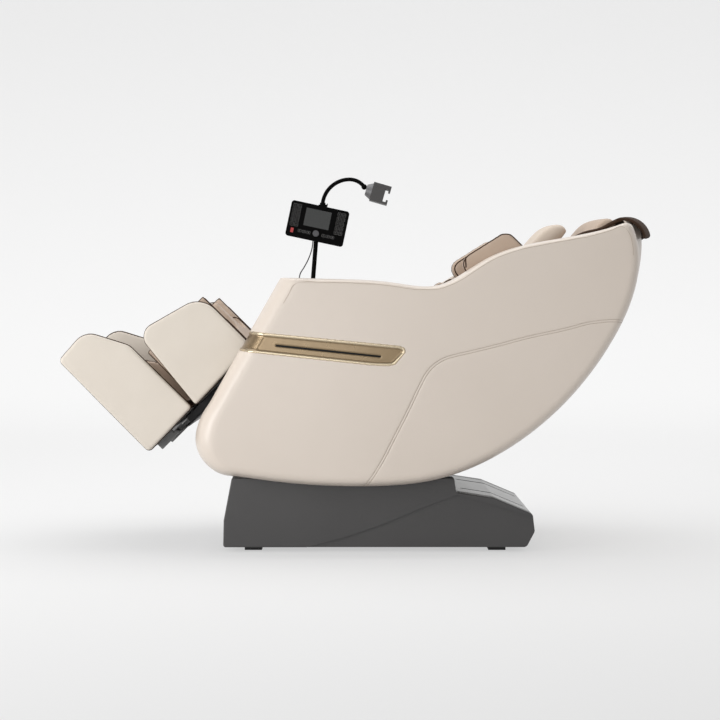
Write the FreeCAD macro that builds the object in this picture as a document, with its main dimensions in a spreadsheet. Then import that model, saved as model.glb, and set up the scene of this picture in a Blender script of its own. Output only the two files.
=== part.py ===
"""Reclining massage chair with a rocking two-shell body on a low base.

The chair faces -X, its head end is at +X and the sitter's left is -Y. Z is up and
the floor is z = 0. Sizes are millimetres. The posture is the reclined one with the
legs raised: the shells hang outside the base and turn on one pivot axis.
"""
import FreeCAD, Part
import math
import os

import Sketcher

Vector = FreeCAD.Vector
Y_AXIS = Vector(0, 1, 0)
SIDES = (("left", -1), ("right", 1))

SIZES = (
    ("chair_half_width", 390, "outer face of each side shell"),
    ("shell_inner_face", 292, "inner face of each side shell"),
    ("shell_front_rounding", 74, "how far the shell's front end draws in"),
    ("shell_belly_rounding", 34, "how far its lower and rear edge draws in"),
    ("shell_top_rounding", 9, "how far its upper edge draws in"),
    ("arm_front_top_height", 871, "top front corner of the armrest"),
    ("arm_front_top_reach", 254, "same corner, forward of the origin"),
    ("trim_depth", 8, "gold band, thickness"),
    ("trim_clearance", 0.3, "band in its recess"),
    ("trim_rim", 9, "raised edge of the band"),
    ("trim_face_depth", 3, "recessed face behind the rim"),
    ("trim_slot_width", 5, "black line along the band"),
    ("base_half_width", 252, "outer face of the base covers"),
    ("base_front_reach", 440, "front of the base"),
    ("base_rear_reach", 551, "rear of the base"),
    ("base_height", 238, "top of the base's front part"),
    ("base_deck_start", 300, "where the sloping rear deck begins"),
    ("base_deck_height", 192, "deck's front edge"),
    ("base_tail_height", 122, "deck's rear edge"),
    ("deck_slot_place", 122, "slots in the deck, from the middle"),
    ("deck_slot_half", 8, "half the width of such a slot"),
    ("deck_slot_front", 22, "slot behind the deck's front edge"),
    ("deck_slot_rear", 24, "slot before the base's rear"),
    ("base_skirt_depth", 40, "moulded side cover, front to inside"),
    ("cover_wall", 4, "moulded plastic wall"),
    ("crease_depth", 7, "drawn-in lower rear of the side cover"),
    ("foot_height", 16, "rubber foot"),
    ("foot_length", 55, "rubber foot, along the chair"),
    ("foot_width", 44, "rubber foot, across"),
    ("front_foot_reach", 375, "front feet, forward of the origin"),
    ("rear_foot_reach", 407, "rear feet, behind the origin"),
    ("foot_place", 183, "feet, from the middle"),
    ("control_box_front", 300, "control box, forward of the origin"),
    ("control_box_rear", 90, "its rear, forward of the origin"),
    ("control_box_half", 120, "its side, from the middle"),
    ("control_box_height", 60, "control box"),
    ("rail_height", 50, "base frame tube"),
    ("rail_width", 30, "base frame tube"),
    ("pan_thickness", 3, "steel floor of the base"),
    ("pivot_height", 300, "axis on which the body rocks"),
    ("pivot_radius", 12, "rocking pin"),
    ("bore_clearance", 0.3, "pin in its moving lug, on the radius"),
    ("post_plate", 8, "steel plates at the rocking pins"),
    ("post_place", 190, "base post plate, inner face"),
    ("seat_pivot_x", 185, "hip corner of the seat"),
    ("seat_pivot_z", 545, "hip corner of the seat"),
    ("seat_angle", 20, "seat slope, front edge up, degrees"),
    ("seat_length", 430, "cushion length"),
    ("seat_thickness", 100, "cushion thickness"),
    ("cushion_half_width", 222, "seat and back cushions between the pads"),
    ("pad_gap", 2, "between a cushion and the pad beside it"),
    ("back_angle", 43, "back slope, degrees"),
    ("back_length", 600, "back cushion length"),
    ("back_thickness", 60, "back cushion thickness"),
    ("frame_tube", 28, "side rail of the seat frame, width"),
    ("frame_rail_height", 36, "side rail of the seat frame, height"),
    ("seat_rail_front", 400, "side rail, from the hip corner to its front"),
    ("seat_rail_rear", 75, "side rail, behind the hip corner"),
    ("back_rail_low", 75, "back rail, below the hip corner"),
    ("back_rail_high", 740, "back rail, from the hip corner to its top"),
    ("cross_tube_radius", 14, "tubes across the frame"),
    ("leg_pivot_reach", 365, "legrest hinge, forward of the origin"),
    ("leg_pivot_height", 535, "legrest hinge"),
    ("leg_angle", 45, "leg axis below the horizontal, degrees"),
    ("leg_pin_radius", 9, "legrest hinge pin"),
    ("leg_half_width", 285, "outer face of the calf and foot panels"),
    ("leg_panel", 22, "calf and foot side panel thickness"),
    ("panel_rounding", 7, "panel edge"),
    ("calf_top_end", 99, "calf unit, beyond the hinge towards the seat"),
    ("calf_bottom_end", 156, "calf unit, beyond the hinge towards the foot"),
    ("calf_back", 66, "underside of the calf unit above the hinge axis"),
    ("calf_lip_height", 352, "open edge of the calf unit"),
    ("calf_floor", 150, "floor of the calf channels"),
    ("calf_rim_drop", 62, "calf pad's rim below the open edge"),
    ("calf_rim_width", 34, "top of that rim"),
    ("calf_wall_width", 62, "outer wall of a calf channel, at its floor"),
    ("calf_ridge_foot", 62, "middle ridge at the channels' floor"),
    ("calf_ridge_half", 26, "middle ridge at its top"),
    ("calf_ridge_drop", 20, "middle ridge below the rim"),
    ("foot_gap", 14, "between calf and foot units, at their backs"),
    ("foot_unit_length", 196, "foot unit along the leg"),
    ("foot_lip_height", 474, "toe end of the foot unit"),
    ("sole_thickness", 44, "foot unit, sole"),
    ("sole_roller_radius", 15, "foot roller"),
    ("sole_roller_width", 26, "foot roller"),
    ("sole_shaft_radius", 5, "foot roller shaft"),
    ("well_inner", 46, "foot roller well, inner side from the middle"),
    ("well_outer", 236, "foot roller well, outer side"),
    ("well_clearance", 0.3, "roller shaft's ends in their well"),
    ("first_roller_place", 90, "innermost foot roller, from the middle"),
    ("roller_spacing", 51, "from one foot roller to the next"),
    ("roller_height", 150, "foot roller shaft above the calf unit's underside"),
    ("heel_thickness", 30, "foot unit, heel wall"),
    ("slider_width", 27, "footrest slider bar"),
    ("slider_height", 12, "footrest slider bar"),
    ("slider_clearance", 0.5, "slider in its channel"),
    ("slider_place", 120, "slider, from the middle"),
    ("channel_wall", 4, "slider channel"),
    ("channel_low_end", 225, "slider channel, from the hinge towards the foot"),
    ("channel_high_end", 54, "slider channel, from the hinge towards the seat"),
    ("leg_plate_low", 148, "legrest's back plate, towards the foot"),
    ("leg_plate_high", 88, "legrest's back plate, towards the seat"),
    ("leg_cover_bottom", 31, "underside of the legrest's back cover"),
    ("rail_place", 165, "massage guide rail, from the middle"),
    ("rail_size", 24, "massage guide rail"),
    ("rail_low_end", 34.3, "its lower end, along the back"),
    ("rail_high_end", 700.7, "its upper end, along the back"),
    ("carriage_length", 130, "massage carriage along the back"),
    ("carriage_rest", 210, "carriage's lower end at rest, along the back"),
    ("shaft_radius", 9, "kneading shaft"),
    ("wheel_radius", 38, "kneading wheel"),
    ("wheel_width", 22, "kneading wheel"),
    ("wheel_place", 78, "kneading wheel, from the middle"),
    ("pillow_length", 300, "head pillow"),
    ("pillow_thickness", 54, "head pillow"),
    ("pillow_half_width", 155, "head pillow"),
    ("pillow_depth", 30, "head pillow beneath its middle plane"),
    ("pillow_low_reach", 441, "head pillow's lower end"),
    ("pillow_low_level", 824.6, "head pillow's lower end"),
    ("pillow_angle", 41, "head pillow's slope, degrees"),
    ("hood_bulge", 80, "how far the hood bows out at the head"),
    ("hood_wall", 6, "hood moulding"),
    ("lip_thickness", 9, "padded band round the hood"),
    ("lip_bulge", 60, "how far that band bows out"),
    ("lip_seat_gap", 0.4, "band above the shell that carries it"),
    ("lip_tip_reach", 947, "rearmost edge of that band"),
    ("lip_run", 89, "that band along the chair, at its sides"),
    ("lip_bend_run", 25, "its bend, forward of its rear edge"),
    ("lip_front_height", 1057, "its front edge"),
    ("lip_bend_height", 1041, "its bend"),
    ("lip_edge_height", 998, "its rear edge"),
    ("lip_crown", 14, "its middle above its sides"),
    ("lip_cut_height", 60, "clear space cut above its seat"),
    ("pole_radius", 8, "tablet pole"),
    ("pole_place", 341, "tablet pole, from the middle"),
    ("tablet_width", 208, "tablet, across the screen"),
    ("tablet_height", 127, "tablet, up the screen"),
    ("tablet_thickness", 20, "tablet case"),
    ("tablet_tilt", 12, "tablet turned in its own plane, degrees"),
    ("tablet_stand_off", 22, "tilt hinge behind the tablet's middle"),
    ("tilt_pin_radius", 4, "tablet tilt hinge"),
    ("tilt_barrel_radius", 8, "tablet tilt hinge"),
    ("button_travel", 1, "press of a key"),
    ("button_gap", 0.3, "key in its hole"),
    ("power_key_width", 10, "power key"),
    ("power_key_height", 16, "power key"),
    ("pad_key_radius", 11, "round key pad"),
    ("gooseneck_radius", 7, "phone holder's flexible neck"),
    ("gooseneck_rise", 96, "first bend of the neck, radius"),
    ("gooseneck_fall", 64, "second bend of the neck, radius"),
    ("gooseneck_turn", 54, "second bend of the neck, degrees"),
    ("clamp_half_width", 30, "phone clamp across"),
    ("clamp_half_height", 33, "phone clamp along its jaws"),
    ("clamp_tilt", 16, "phone clamp's lean, degrees"),
    ("lead_radius", 2, "tablet lead"),
    ("actuator_base_x", 280, "rocking actuator's lower pin"),
    ("actuator_base_z", 62, "rocking actuator's lower pin"),
    ("actuator_top_x", 260, "rocking actuator's upper pin"),
    ("actuator_top_z", 380, "rocking actuator's upper pin"),
    ("actuator_tube_radius", 22, "rocking actuator tube"),
    ("actuator_rod_radius", 10, "rocking actuator rod"),
    ("actuator_pin_radius", 6, "rocking actuator pins"),
    ("actuator_tube_start", 20, "tube's lower end, from the lower pin"),
    ("actuator_tube_length", 205, "rocking actuator tube"),
    ("actuator_rod_length", 190, "rocking actuator rod"),
)

doc = FreeCAD.newDocument("MassageChair")
sheet = doc.addObject("Spreadsheet::Sheet", "Sizes")
for row, (alias, value, note) in enumerate(SIZES, start=1):
    sheet.set(f"A{row}", alias.replace("_", " "))
    sheet.set(f"B{row}", str(value))
    sheet.setAlias(f"B{row}", alias)
    sheet.set(f"C{row}", note)
doc.recompute()


class Size:
    """A length with the sheet expression that it comes from."""

    def __init__(self, value, text):
        self.value = float(value)
        self.text = text

    def __add__(self, other):
        other = as_size(other)
        return Size(self.value + other.value, f"({self.text} + {other.text})")

    def __sub__(self, other):
        other = as_size(other)
        return Size(self.value - other.value, f"({self.text} - {other.text})")

    def __mul__(self, factor):
        return Size(self.value * factor, f"({self.text} * {factor})")

    def __truediv__(self, factor):
        return Size(self.value / factor, f"({self.text} / {factor})")

    def __neg__(self):
        return Size(-self.value, f"(0 - {self.text})")

    def __radd__(self, other):
        return as_size(other) + self

    def __rsub__(self, other):
        return as_size(other) - self


def as_size(number):
    return number if isinstance(number, Size) else Size(number, str(number))


def size(alias):
    return Size(sheet.get(alias), f"Sizes.{alias}")


def mm(alias):
    return float(sheet.get(alias))


def bind(thing, prop, length):
    thing.setExpression(prop, as_size(length).text)


PARTS = []


def keep(thing, label):
    """Lists a finished sub-part under the name that its file gets."""
    thing.Label = label
    PARTS.append(thing)
    return thing


LEG = FreeCAD.Placement(
    Vector(-mm("leg_pivot_reach"), 0, mm("leg_pivot_height")),
    FreeCAD.Rotation(Y_AXIS, -mm("leg_angle")),
)
SEAT = FreeCAD.Placement(
    Vector(mm("seat_pivot_x"), 0, mm("seat_pivot_z")),
    FreeCAD.Rotation(Y_AXIS, mm("seat_angle")),
)
BACK = FreeCAD.Placement(
    Vector(mm("seat_pivot_x"), 0, mm("seat_pivot_z")),
    FreeCAD.Rotation(Y_AXIS, -mm("back_angle")),
)
HERE = FreeCAD.Placement()


def new_body(label, place=HERE):
    body = doc.addObject("PartDesign::Body", "Body_" + label)
    body.Placement = place
    keep(body, label)
    return body


def sketch_on(body, role, offset):
    """An empty sketch on one of the body's own planes, moved along its normal."""
    sketch = body.newObject("Sketcher::SketchObject", "Outline")
    support = [f for f in body.Origin.OriginFeatures if f.Role == role][0]
    sketch.AttachmentSupport = (support, [""])
    sketch.MapMode = "FlatFace"
    bind(sketch, "AttachmentOffset.Base.z", offset)
    return sketch


def add_polygon(sketch, corners):
    """Closed outline with every corner held by two dimensions."""
    corners = [(as_size(u), as_size(v)) for u, v in corners]
    points = [Vector(u.value, v.value, 0) for u, v in corners]
    first = sketch.GeometryCount
    count = len(points)
    for i in range(count):
        sketch.addGeometry(Part.LineSegment(points[i], points[(i + 1) % count]), False)
    for i in range(count):
        joined = Sketcher.Constraint("Coincident", first + i, 2, first + (i + 1) % count, 1)
        sketch.addConstraint(joined)
    for i, (u, v) in enumerate(corners):
        for kind, length in (("DistanceX", u), ("DistanceY", v)):
            datum = Sketcher.Constraint(kind, -1, 1, first + i, 1, length.value)
            number = sketch.addConstraint(datum)
            bind(sketch, f"Constraints[{number}]", length)


def add_circle(sketch, centre, radius):
    u, v = as_size(centre[0]), as_size(centre[1])
    radius = as_size(radius)
    circle = Part.Circle(Vector(u.value, v.value, 0), Vector(0, 0, 1), radius.value)
    number = sketch.addGeometry(circle, False)
    for kind, length in (("DistanceX", u), ("DistanceY", v)):
        row = sketch.addConstraint(Sketcher.Constraint(kind, -1, 1, number, 3, length.value))
        bind(sketch, f"Constraints[{row}]", length)
    row = sketch.addConstraint(Sketcher.Constraint("Radius", number, radius.value))
    bind(sketch, f"Constraints[{row}]", radius)


def pad(body, sketch, length):
    feature = body.newObject("PartDesign::Pad", "Pad")
    feature.Profile = sketch
    feature.Length = as_size(length).value
    bind(feature, "Length", length)
    feature.recompute(True)
    return feature


def cut(body, sketch, length):
    """A pocket that runs the way a pad of the same sketch would."""
    before = body.Tip.Shape.Volume
    feature = body.newObject("PartDesign::Pocket", "Pocket")
    feature.Profile = sketch
    feature.Reversed = True
    feature.Length = as_size(length).value
    bind(feature, "Length", length)
    feature.recompute(True)
    if not feature.Shape.Volume < before - 1e-3:
        raise RuntimeError(f"the pocket in {body.Label} cuts nothing")
    return feature


def offset_for(role, start, end):
    """The XZ plane's normal is -Y, so there the far side comes first."""
    return -as_size(end) if role == "XZ_Plane" else as_size(start)


def prism(body, role, corners, start, end):
    """Outline padded from start to end along the axis across its plane."""
    sketch = sketch_on(body, role, offset_for(role, start, end))
    add_polygon(sketch, corners)
    return pad(body, sketch, as_size(end) - as_size(start))


def pocket(body, role, corners, start, end):
    sketch = sketch_on(body, role, offset_for(role, start, end))
    add_polygon(sketch, corners)
    return cut(body, sketch, as_size(end) - as_size(start))


def bore(body, role, centre, radius, start, end):
    sketch = sketch_on(body, role, offset_for(role, start, end))
    add_circle(sketch, centre, radius)
    return cut(body, sketch, as_size(end) - as_size(start))


def rod(body, role, centre, radius, start, end):
    sketch = sketch_on(body, role, offset_for(role, start, end))
    add_circle(sketch, centre, radius)
    return pad(body, sketch, as_size(end) - as_size(start))


def edges_at(shape, axis, corner):
    """Straight edges along an axis that pass through a corner of the outline."""
    names = []
    for number, edge in enumerate(shape.Edges, start=1):
        if edge.Curve.TypeId != "Part::GeomLine":
            continue
        along = edge.Vertexes[0].Point - edge.Vertexes[-1].Point
        middle = edge.CenterOfMass
        flat = [abs(part) for i, part in enumerate(along) if i != axis]
        here = [part for i, part in enumerate(middle) if i != axis]
        if max(flat) < 1e-6 and math.dist(here, corner) < 1e-3:
            names.append(f"Edge{number}")
    return names


def round_corners(body, axis, corners, radius):
    """Fillets the edges that stand on the given outline corners."""
    base = body.Tip
    names = []
    for corner in corners:
        place = [as_size(part).value for part in corner]
        names += edges_at(base.Shape, axis, place)
    feature = body.newObject("PartDesign::Fillet", "Corners")
    feature.Base = (base, names)
    feature.Radius = as_size(radius).value
    bind(feature, "Radius", radius)
    feature.recompute(True)
    return feature


def round_face(body, axis, level, radius):
    """Fillets every edge that lies in the plane where the axis has that value."""
    base = body.Tip
    names = []
    for number, edge in enumerate(base.Shape.Edges, start=1):
        box = edge.BoundBox
        low = (box.XMin, box.YMin, box.ZMin)[axis]
        high = (box.XMax, box.YMax, box.ZMax)[axis]
        if abs(low - level) < 1e-3 and abs(high - level) < 1e-3:
            names.append(f"Edge{number}")
    feature = body.newObject("PartDesign::Fillet", "Rounding")
    feature.Base = (base, names)
    feature.Radius = as_size(radius).value
    bind(feature, "Radius", radius)
    feature.recompute(True)
    return feature


def feature(label, shape, place=HERE):
    thing = doc.addObject("Part::Feature", "Form_" + label)
    thing.Shape = shape
    thing.Placement = place
    return keep(thing, label)


def box_of(x0, x1, y0, y1, z0, z1, place=HERE):
    """Part::Box between two corners, given in the frame of the placement."""
    thing = doc.addObject("Part::Box", "Box")
    bind(thing, "Length", as_size(x1) - as_size(x0))
    bind(thing, "Width", as_size(y1) - as_size(y0))
    bind(thing, "Height", as_size(z1) - as_size(z0))
    corner = Vector(as_size(x0).value, as_size(y0).value, as_size(z0).value)
    thing.Placement = place * FreeCAD.Placement(corner, FreeCAD.Rotation())
    return thing


def tube_of(start, end, radius):
    """Part::Cylinder from one point to another."""
    thing = doc.addObject("Part::Cylinder", "Cylinder")
    bind(thing, "Radius", radius)
    thing.Height = (end - start).Length
    thing.Placement = FreeCAD.Placement(start, FreeCAD.Rotation(Vector(0, 0, 1), end - start))
    return thing


def fused(label, things):
    whole = doc.addObject("Part::MultiFuse", "Fused_" + label)
    whole.Shapes = things
    return keep(whole, label)


def span(side, near, far):
    """The y range from near to far on one side, low value first."""
    near, far = as_size(near), as_size(far)
    return (near, far) if side > 0 else (-far, -near)


POLE_FOOT = Vector(-174, mm("pole_place"), 864)
POLE_HEAD = Vector(-160, mm("pole_place"), 1040)
LEAD_ROUTE = (
    (-172, 331, 1035.5),
    (-172, 331, 1003),
    (-183, 332, 962),
    (-203, 334, 922),
    (-222, 335, 896),
    (-222, 335, 874),
)


# Base: steel pan and tubes, posts that carry the rocking pins


def base_frame():
    bottom = size("foot_height")
    rail_top = bottom + size("pan_thickness") + size("rail_height")
    pan_half = size("base_half_width") - size("base_skirt_depth")
    front = -size("base_front_reach") + 12
    rear = size("base_rear_reach") - 30
    pieces = [box_of(front, rear, -pan_half, pan_half, bottom, bottom + size("pan_thickness"))]
    post_inner = size("post_place")
    post_outer = post_inner + size("post_plate")
    for _, side in SIDES:
        low, high = span(side, post_inner - size("rail_width"), post_inner)
        pieces.append(box_of(front + 20, rear - 60, low, high, bottom, rail_top))
        pieces.append(base_post(side, post_inner, post_outer, bottom))
    for x in (-330, 60, 380):
        half = post_inner
        pieces.append(box_of(x - 20, x + 20, -half, half, bottom, rail_top - 10))
    fused("base_frame", pieces)


def base_post(side, inner, outer, bottom):
    """Upright plate, wide at its foot, with the pin's hole at the top."""
    body = doc.addObject("PartDesign::Body", "Post")
    low, high = span(side, inner, outer)
    pivot = size("pivot_height")
    head = size("pivot_radius") + 14
    corners = [
        (-150, bottom + 3),
        (150, bottom + 3),
        (head, pivot + 4),
        (head - 10, pivot + head),
        (-head + 10, pivot + head),
        (-head, pivot + 4),
    ]
    prism(body, "XZ_Plane", corners, low, high)
    bore(body, "XZ_Plane", (0, pivot), size("pivot_radius"), low, high)
    return body


def pivot_pins():
    pins = []
    pivot = mm("pivot_height")
    inner = mm("post_place") - mm("post_plate") - 6
    outer = mm("post_place") + mm("post_plate") + 6
    for _, side in SIDES:
        start = Vector(0, side * inner, pivot)
        end = Vector(0, side * outer, pivot)
        pins.append(tube_of(start, end, size("pivot_radius")))
    fused("rocking_pins", pins)


def base_side_cover(name, side):
    """Moulded cover with a long crease; below it the wall draws in."""
    body = new_body(f"base_side_cover_{name}")
    outer = size("base_half_width")
    low, high = span(side, outer - size("base_skirt_depth"), outer)
    bottom = size("foot_height")
    front = -size("base_front_reach")
    rear = size("base_rear_reach")
    deck = size("base_deck_start")
    nose = (front, bottom)
    shoulder = (front + 28, size("base_height"))
    step = (deck - 6, size("base_height"))
    deck_front = (deck, size("base_deck_height"))
    deck_middle = (deck + 120, size("base_deck_height") - 18)
    tail = (rear - 7, size("base_tail_height"))
    hock = (rear, bottom + 50)
    heel = (rear - 26, bottom)
    corners = [nose, (front + 2, bottom + 86), shoulder, step, deck_front, deck_middle]
    corners += [tail, hock, heel]
    prism(body, "XZ_Plane", corners, low, high)
    round_corners(body, 1, [shoulder, step, deck_front, nose], 8)
    round_corners(body, 1, [tail, hock, heel], 15)
    round_face(body, 1, side * outer.value, 4)
    crease = [
        (-180, bottom - 1),
        (-43, 52),
        (72, 92),
        (187, 141),
        (deck + 4, size("base_deck_height") - 8),
        (rear + 1, size("base_tail_height") - 10),
        (rear + 1, bottom - 1),
    ]
    if side > 0:
        pocket(body, "XZ_Plane", crease, outer - size("crease_depth"), outer)
    else:
        pocket(body, "XZ_Plane", crease, -outer, -outer + size("crease_depth"))
    wall = size("cover_wall")
    hollow = [
        (front + wall, bottom + wall),
        (front + 2 + wall, bottom + 86),
        (front + 28 + wall, size("base_height") - wall),
        (deck - 6 - wall, size("base_height") - wall),
        (deck - wall, size("base_deck_height") - wall),
        (deck + 120, size("base_deck_height") - 18 - wall),
        (rear - 11 - wall, size("base_tail_height") - wall),
        (rear - wall, bottom + 50),
        (rear - 28, bottom + wall),
    ]
    depth = size("crease_depth") + wall
    inner = outer - size("base_skirt_depth")
    low, high = span(side, inner, outer - depth)
    pocket(body, "XZ_Plane", hollow, low, high)


def base_front_cover():
    """Front wall between the side covers, with a short shelf at its top."""
    body = new_body("base_front_cover")
    half = size("base_half_width") - size("base_skirt_depth")
    bottom = size("foot_height")
    wall = size("cover_wall")
    front = -size("base_front_reach")
    top = size("base_height")
    corners = [
        (front, bottom),
        (front + 2, bottom + 86),
        (front + 28, top),
        (front + 90, top),
        (front + 90, top - wall),
        (front + 28 + wall, top - wall),
        (front + 2 + wall, bottom + 86),
        (front + wall, bottom),
    ]
    prism(body, "XZ_Plane", corners, -half, half)


INLET_WIDTH = (120, 170)
INLET_HEIGHT = (40, 62)


def rear_cover():
    """Glossy sloping deck over the base's tail, slotted, with a rear wall."""
    body = new_body("rear_cover")
    half = size("base_half_width") - size("base_skirt_depth")
    wall = size("cover_wall")
    deck = size("base_deck_start")
    rear = size("base_rear_reach")
    start = (deck + 3, size("base_deck_height"))
    middle = (deck + 120, size("base_deck_height") - 18)
    tail = (rear - 7, size("base_tail_height"))
    corners = [
        start,
        middle,
        tail,
        (rear, 66),
        (rear - 26, size("foot_height")),
        (rear - 26 - wall, size("foot_height")),
        (rear - wall, 66),
        (rear - 7 - wall, size("base_tail_height") - wall),
        (deck + 120, size("base_deck_height") - 18 - wall),
        (deck + 3, size("base_deck_height") - wall),
    ]
    prism(body, "XZ_Plane", corners, -half, half)
    round_corners(body, 1, [tail], 15)
    slot_half = size("deck_slot_half")
    slot_front = deck + size("deck_slot_front")
    slot_rear = rear - size("deck_slot_rear")
    for slot in (-size("deck_slot_place"), size("deck_slot_place")):
        slot_corners = [
            (slot_front, slot - slot_half),
            (slot_rear, slot - slot_half),
            (slot_rear, slot + slot_half),
            (slot_front, slot + slot_half),
        ]
        pocket(body, "XY_Plane", slot_corners, 100, 200)
    low, high = INLET_WIDTH
    bottom, top = INLET_HEIGHT
    opening = [(low - 0.3, bottom - 0.3), (high + 0.3, bottom - 0.3), (high + 0.3, top + 0.3)]
    opening.append((low - 0.3, top + 0.3))
    pocket(body, "YZ_Plane", opening, rear - 40, rear + 1)


def rubber_feet():
    feet = []
    half = size("foot_width") / 2
    for x in (-size("front_foot_reach"), size("rear_foot_reach")):
        for _, side in SIDES:
            low, high = span(side, size("foot_place") - half, size("foot_place") + half)
            top = size("foot_height")
            feet.append(box_of(x, x + size("foot_length"), low, high, 0, top))
    fused("rubber_feet", feet)


def control_box():
    body = new_body("control_box")
    bottom = size("foot_height") + size("pan_thickness")
    front = -size("control_box_front")
    rear = -size("control_box_rear")
    top = bottom + size("control_box_height")
    half = size("control_box_half")
    corners = [(front, bottom), (rear, bottom), (rear, top), (front, top)]
    prism(body, "XZ_Plane", corners, -half, half)
    round_corners(body, 1, [corners[2], corners[3]], 6)


# Side shells


def shell_outline(inset_front, inset_belly, inset_top, y):
    """One section of the shell at the given y, drawn in by three amounts.

    It runs from the armrest's front corner down the straight front, round the
    nose, along the belly to the head end, back along the top and down the shoulder.
    """
    f, b, t = inset_front, inset_belly, inset_top
    corner_x = -mm("arm_front_top_reach") + f * 0.9
    corner_z = mm("arm_front_top_height") - t

    def at(x, z):
        return Vector(x, y, z)

    front = Part.LineSegment(at(corner_x, corner_z), at(-478 + f * 0.9, 478))
    nose = Part.BSplineCurve()
    nose.interpolate(
        [
            at(-478 + f * 0.9, 478),
            at(-514 + f, 410),
            at(-520 + f, 350),
            at(-488 + f * 0.8, 288 + b * 0.6),
            at(-394 + f * 0.2, 250 + b),
        ]
    )
    belly = Part.BSplineCurve()
    belly.interpolate(
        [
            at(-394 + f * 0.2, 250 + b),
            at(-191, 225 + b),
            at(20, 218 + b),
            at(242 - b * 0.2, 241 + b),
            at(440 - b * 0.5, 324 + b * 0.9),
            at(637 - b * 0.7, 481 + b * 0.7),
            at(784 - b * 0.85, 678 + b * 0.5),
            at(855 - b, 853 + b * 0.2),
            at(862 - b, 950),
            at(846 - b, 1020 - t),
        ]
    )
    brow = Part.Arc(
        at(846 - b, 1020 - t), at(836 - b * 0.9, 1036 - t), at(810 - b * 0.6, 1039 - t)
    ).toShape()
    top = Part.BSplineCurve()
    top.interpolate(
        [
            at(810 - b * 0.6, 1039 - t),
            at(610, 992 - t),
            at(395, 934 - t),
            at(318 + t * 0.5, 887 - t),
            at(241, 849 - t),
            at(100, 856 - t),
            at(-120, 868 - t),
            at(corner_x, corner_z),
        ]
    )
    edges = [front.toShape(), nose.toShape(), belly.toShape(), brow, top.toShape()]
    return Part.Wire(edges)


def shell_solid(shrink):
    """The near shell as a loft; shrink moves every wall inwards."""
    outer = mm("chair_half_width") - shrink
    inner = mm("shell_inner_face")
    depth = outer - inner
    sections = []
    for share in (0.0, 0.3, 0.62, 0.86, 1.0):
        draw = 1 - math.sqrt(1 - share**2 * 0.98)
        sections.append(
            shell_outline(
                draw * mm("shell_front_rounding") + shrink,
                draw * mm("shell_belly_rounding") + shrink,
                draw * mm("shell_top_rounding") + shrink,
                -(inner + depth * share),
            )
        )
    return Part.makeLoft(sections, True, False)


def trim_region(grow):
    """Prism through the shell where the gold band lies, seen from the side."""
    points = [
        (-440, 716 + grow),
        (-290, 700 + grow),
        (118, 661 + grow),
        (133 + grow, 654 + grow * 0.5),
        (136 + grow, 640),
        (104 + grow, 602 - grow * 0.7),
        (84, 597 - grow),
        (30, 599 - grow),
        (-185, 622 - grow),
        (-440, 650 - grow),
    ]
    base = -mm("chair_half_width") - 20
    corners = [Vector(x, base, z) for x, z in points]
    face = Part.Face(Part.makePolygon(corners + corners[:1]))
    return face.extrude(Vector(0, 20 + mm("chair_half_width") - mm("shell_inner_face"), 0))


def slot_region(grow):
    """The straight black line along the band, as a prism."""
    half = mm("trim_slot_width") / 2 + grow
    points = [(-263 - grow, 661 + half), (59 + grow, 627 + half)]
    points += [(59 + grow, 627 - half), (-263 - grow, 661 - half)]
    base = -mm("chair_half_width") - 20
    corners = [Vector(x, base, z) for x, z in points]
    face = Part.Face(Part.makePolygon(corners + corners[:1]))
    return face.extrude(Vector(0, 60, 0))


def mirrored(shape, side):
    return shape if side < 0 else shape.mirror(Vector(0, 0, 0), Y_AXIS)


def shells_and_trims():
    whole = shell_solid(0)
    core = shell_solid(mm("trim_depth"))
    recess = trim_region(mm("trim_clearance")).cut(core)
    shell = whole.cut(recess)
    band = trim_region(0).common(whole).cut(shell_solid(mm("trim_depth") - mm("trim_clearance")))
    rim = mm("trim_rim")
    face_depth = mm("trim_face_depth")
    face = shell_solid(face_depth)
    band = band.cut(trim_region(-rim).cut(face))
    line = slot_region(0).common(face).cut(shell_solid(face_depth * 2))
    band = band.cut(slot_region(mm("trim_clearance")).cut(shell_solid(face_depth * 2)))
    seats = [pole_flange(), gland_solid()]
    for name, side in SIDES:
        whole_side = mirrored(shell, side)
        if side > 0:
            whole_side = whole_side.cut(seats)
        feature(f"side_shell_{name}", whole_side)
        feature(f"gold_trim_{name}", mirrored(band, side))
        feature(f"trim_line_{name}", mirrored(line, side))


# Seat frame and soft parts of the body


def seat_frame():
    """Side rails under the seat and up the back, tubes across, pivot and leg lugs."""
    face = size("shell_inner_face")
    tube = size("frame_tube")
    rail = size("frame_rail_height")
    below_seat = -size("seat_thickness")
    below_back = -size("back_thickness") - 8
    seat_front = -size("seat_rail_front")
    seat_rear = size("seat_rail_rear")
    back_low = -size("back_rail_low")
    back_high = size("back_rail_high")
    pieces = []
    for _, side in SIDES:
        low, high = span(side, face - tube, face)
        pieces.append(
            box_of(seat_front, seat_rear, low, high, below_seat - rail, below_seat, SEAT)
        )
        pieces.append(box_of(back_low, back_high, low, high, below_back - rail, below_back, BACK))
        low, high = span(side, size("rail_place") + size("rail_size") + 2, face - 10)
        pieces.append(box_of(40, back_high, low, high, below_back, below_back + 7.7, BACK))
        pieces.append(rocking_lug(side))
        pieces.append(leg_lug(side))
        pieces.append(leg_pin(side))
        pieces.append(actuator_lug(side))
    pieces.append(actuator_pin())
    reach = mm("shell_inner_face") - mm("frame_tube") / 2
    middle = -mm("seat_thickness") - 4 - mm("cross_tube_radius")
    for x in (-345, -130, 10):
        centre = SEAT.multVec(Vector(x, 0, middle))
        pieces.append(cross_tube(centre, reach))
    middle = -mm("back_thickness") - 8 - mm("frame_rail_height") / 2
    for x in (20, 715):
        centre = BACK.multVec(Vector(x, 0, middle))
        pieces.append(cross_tube(centre, reach))
    fused("seat_frame", pieces)


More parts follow.
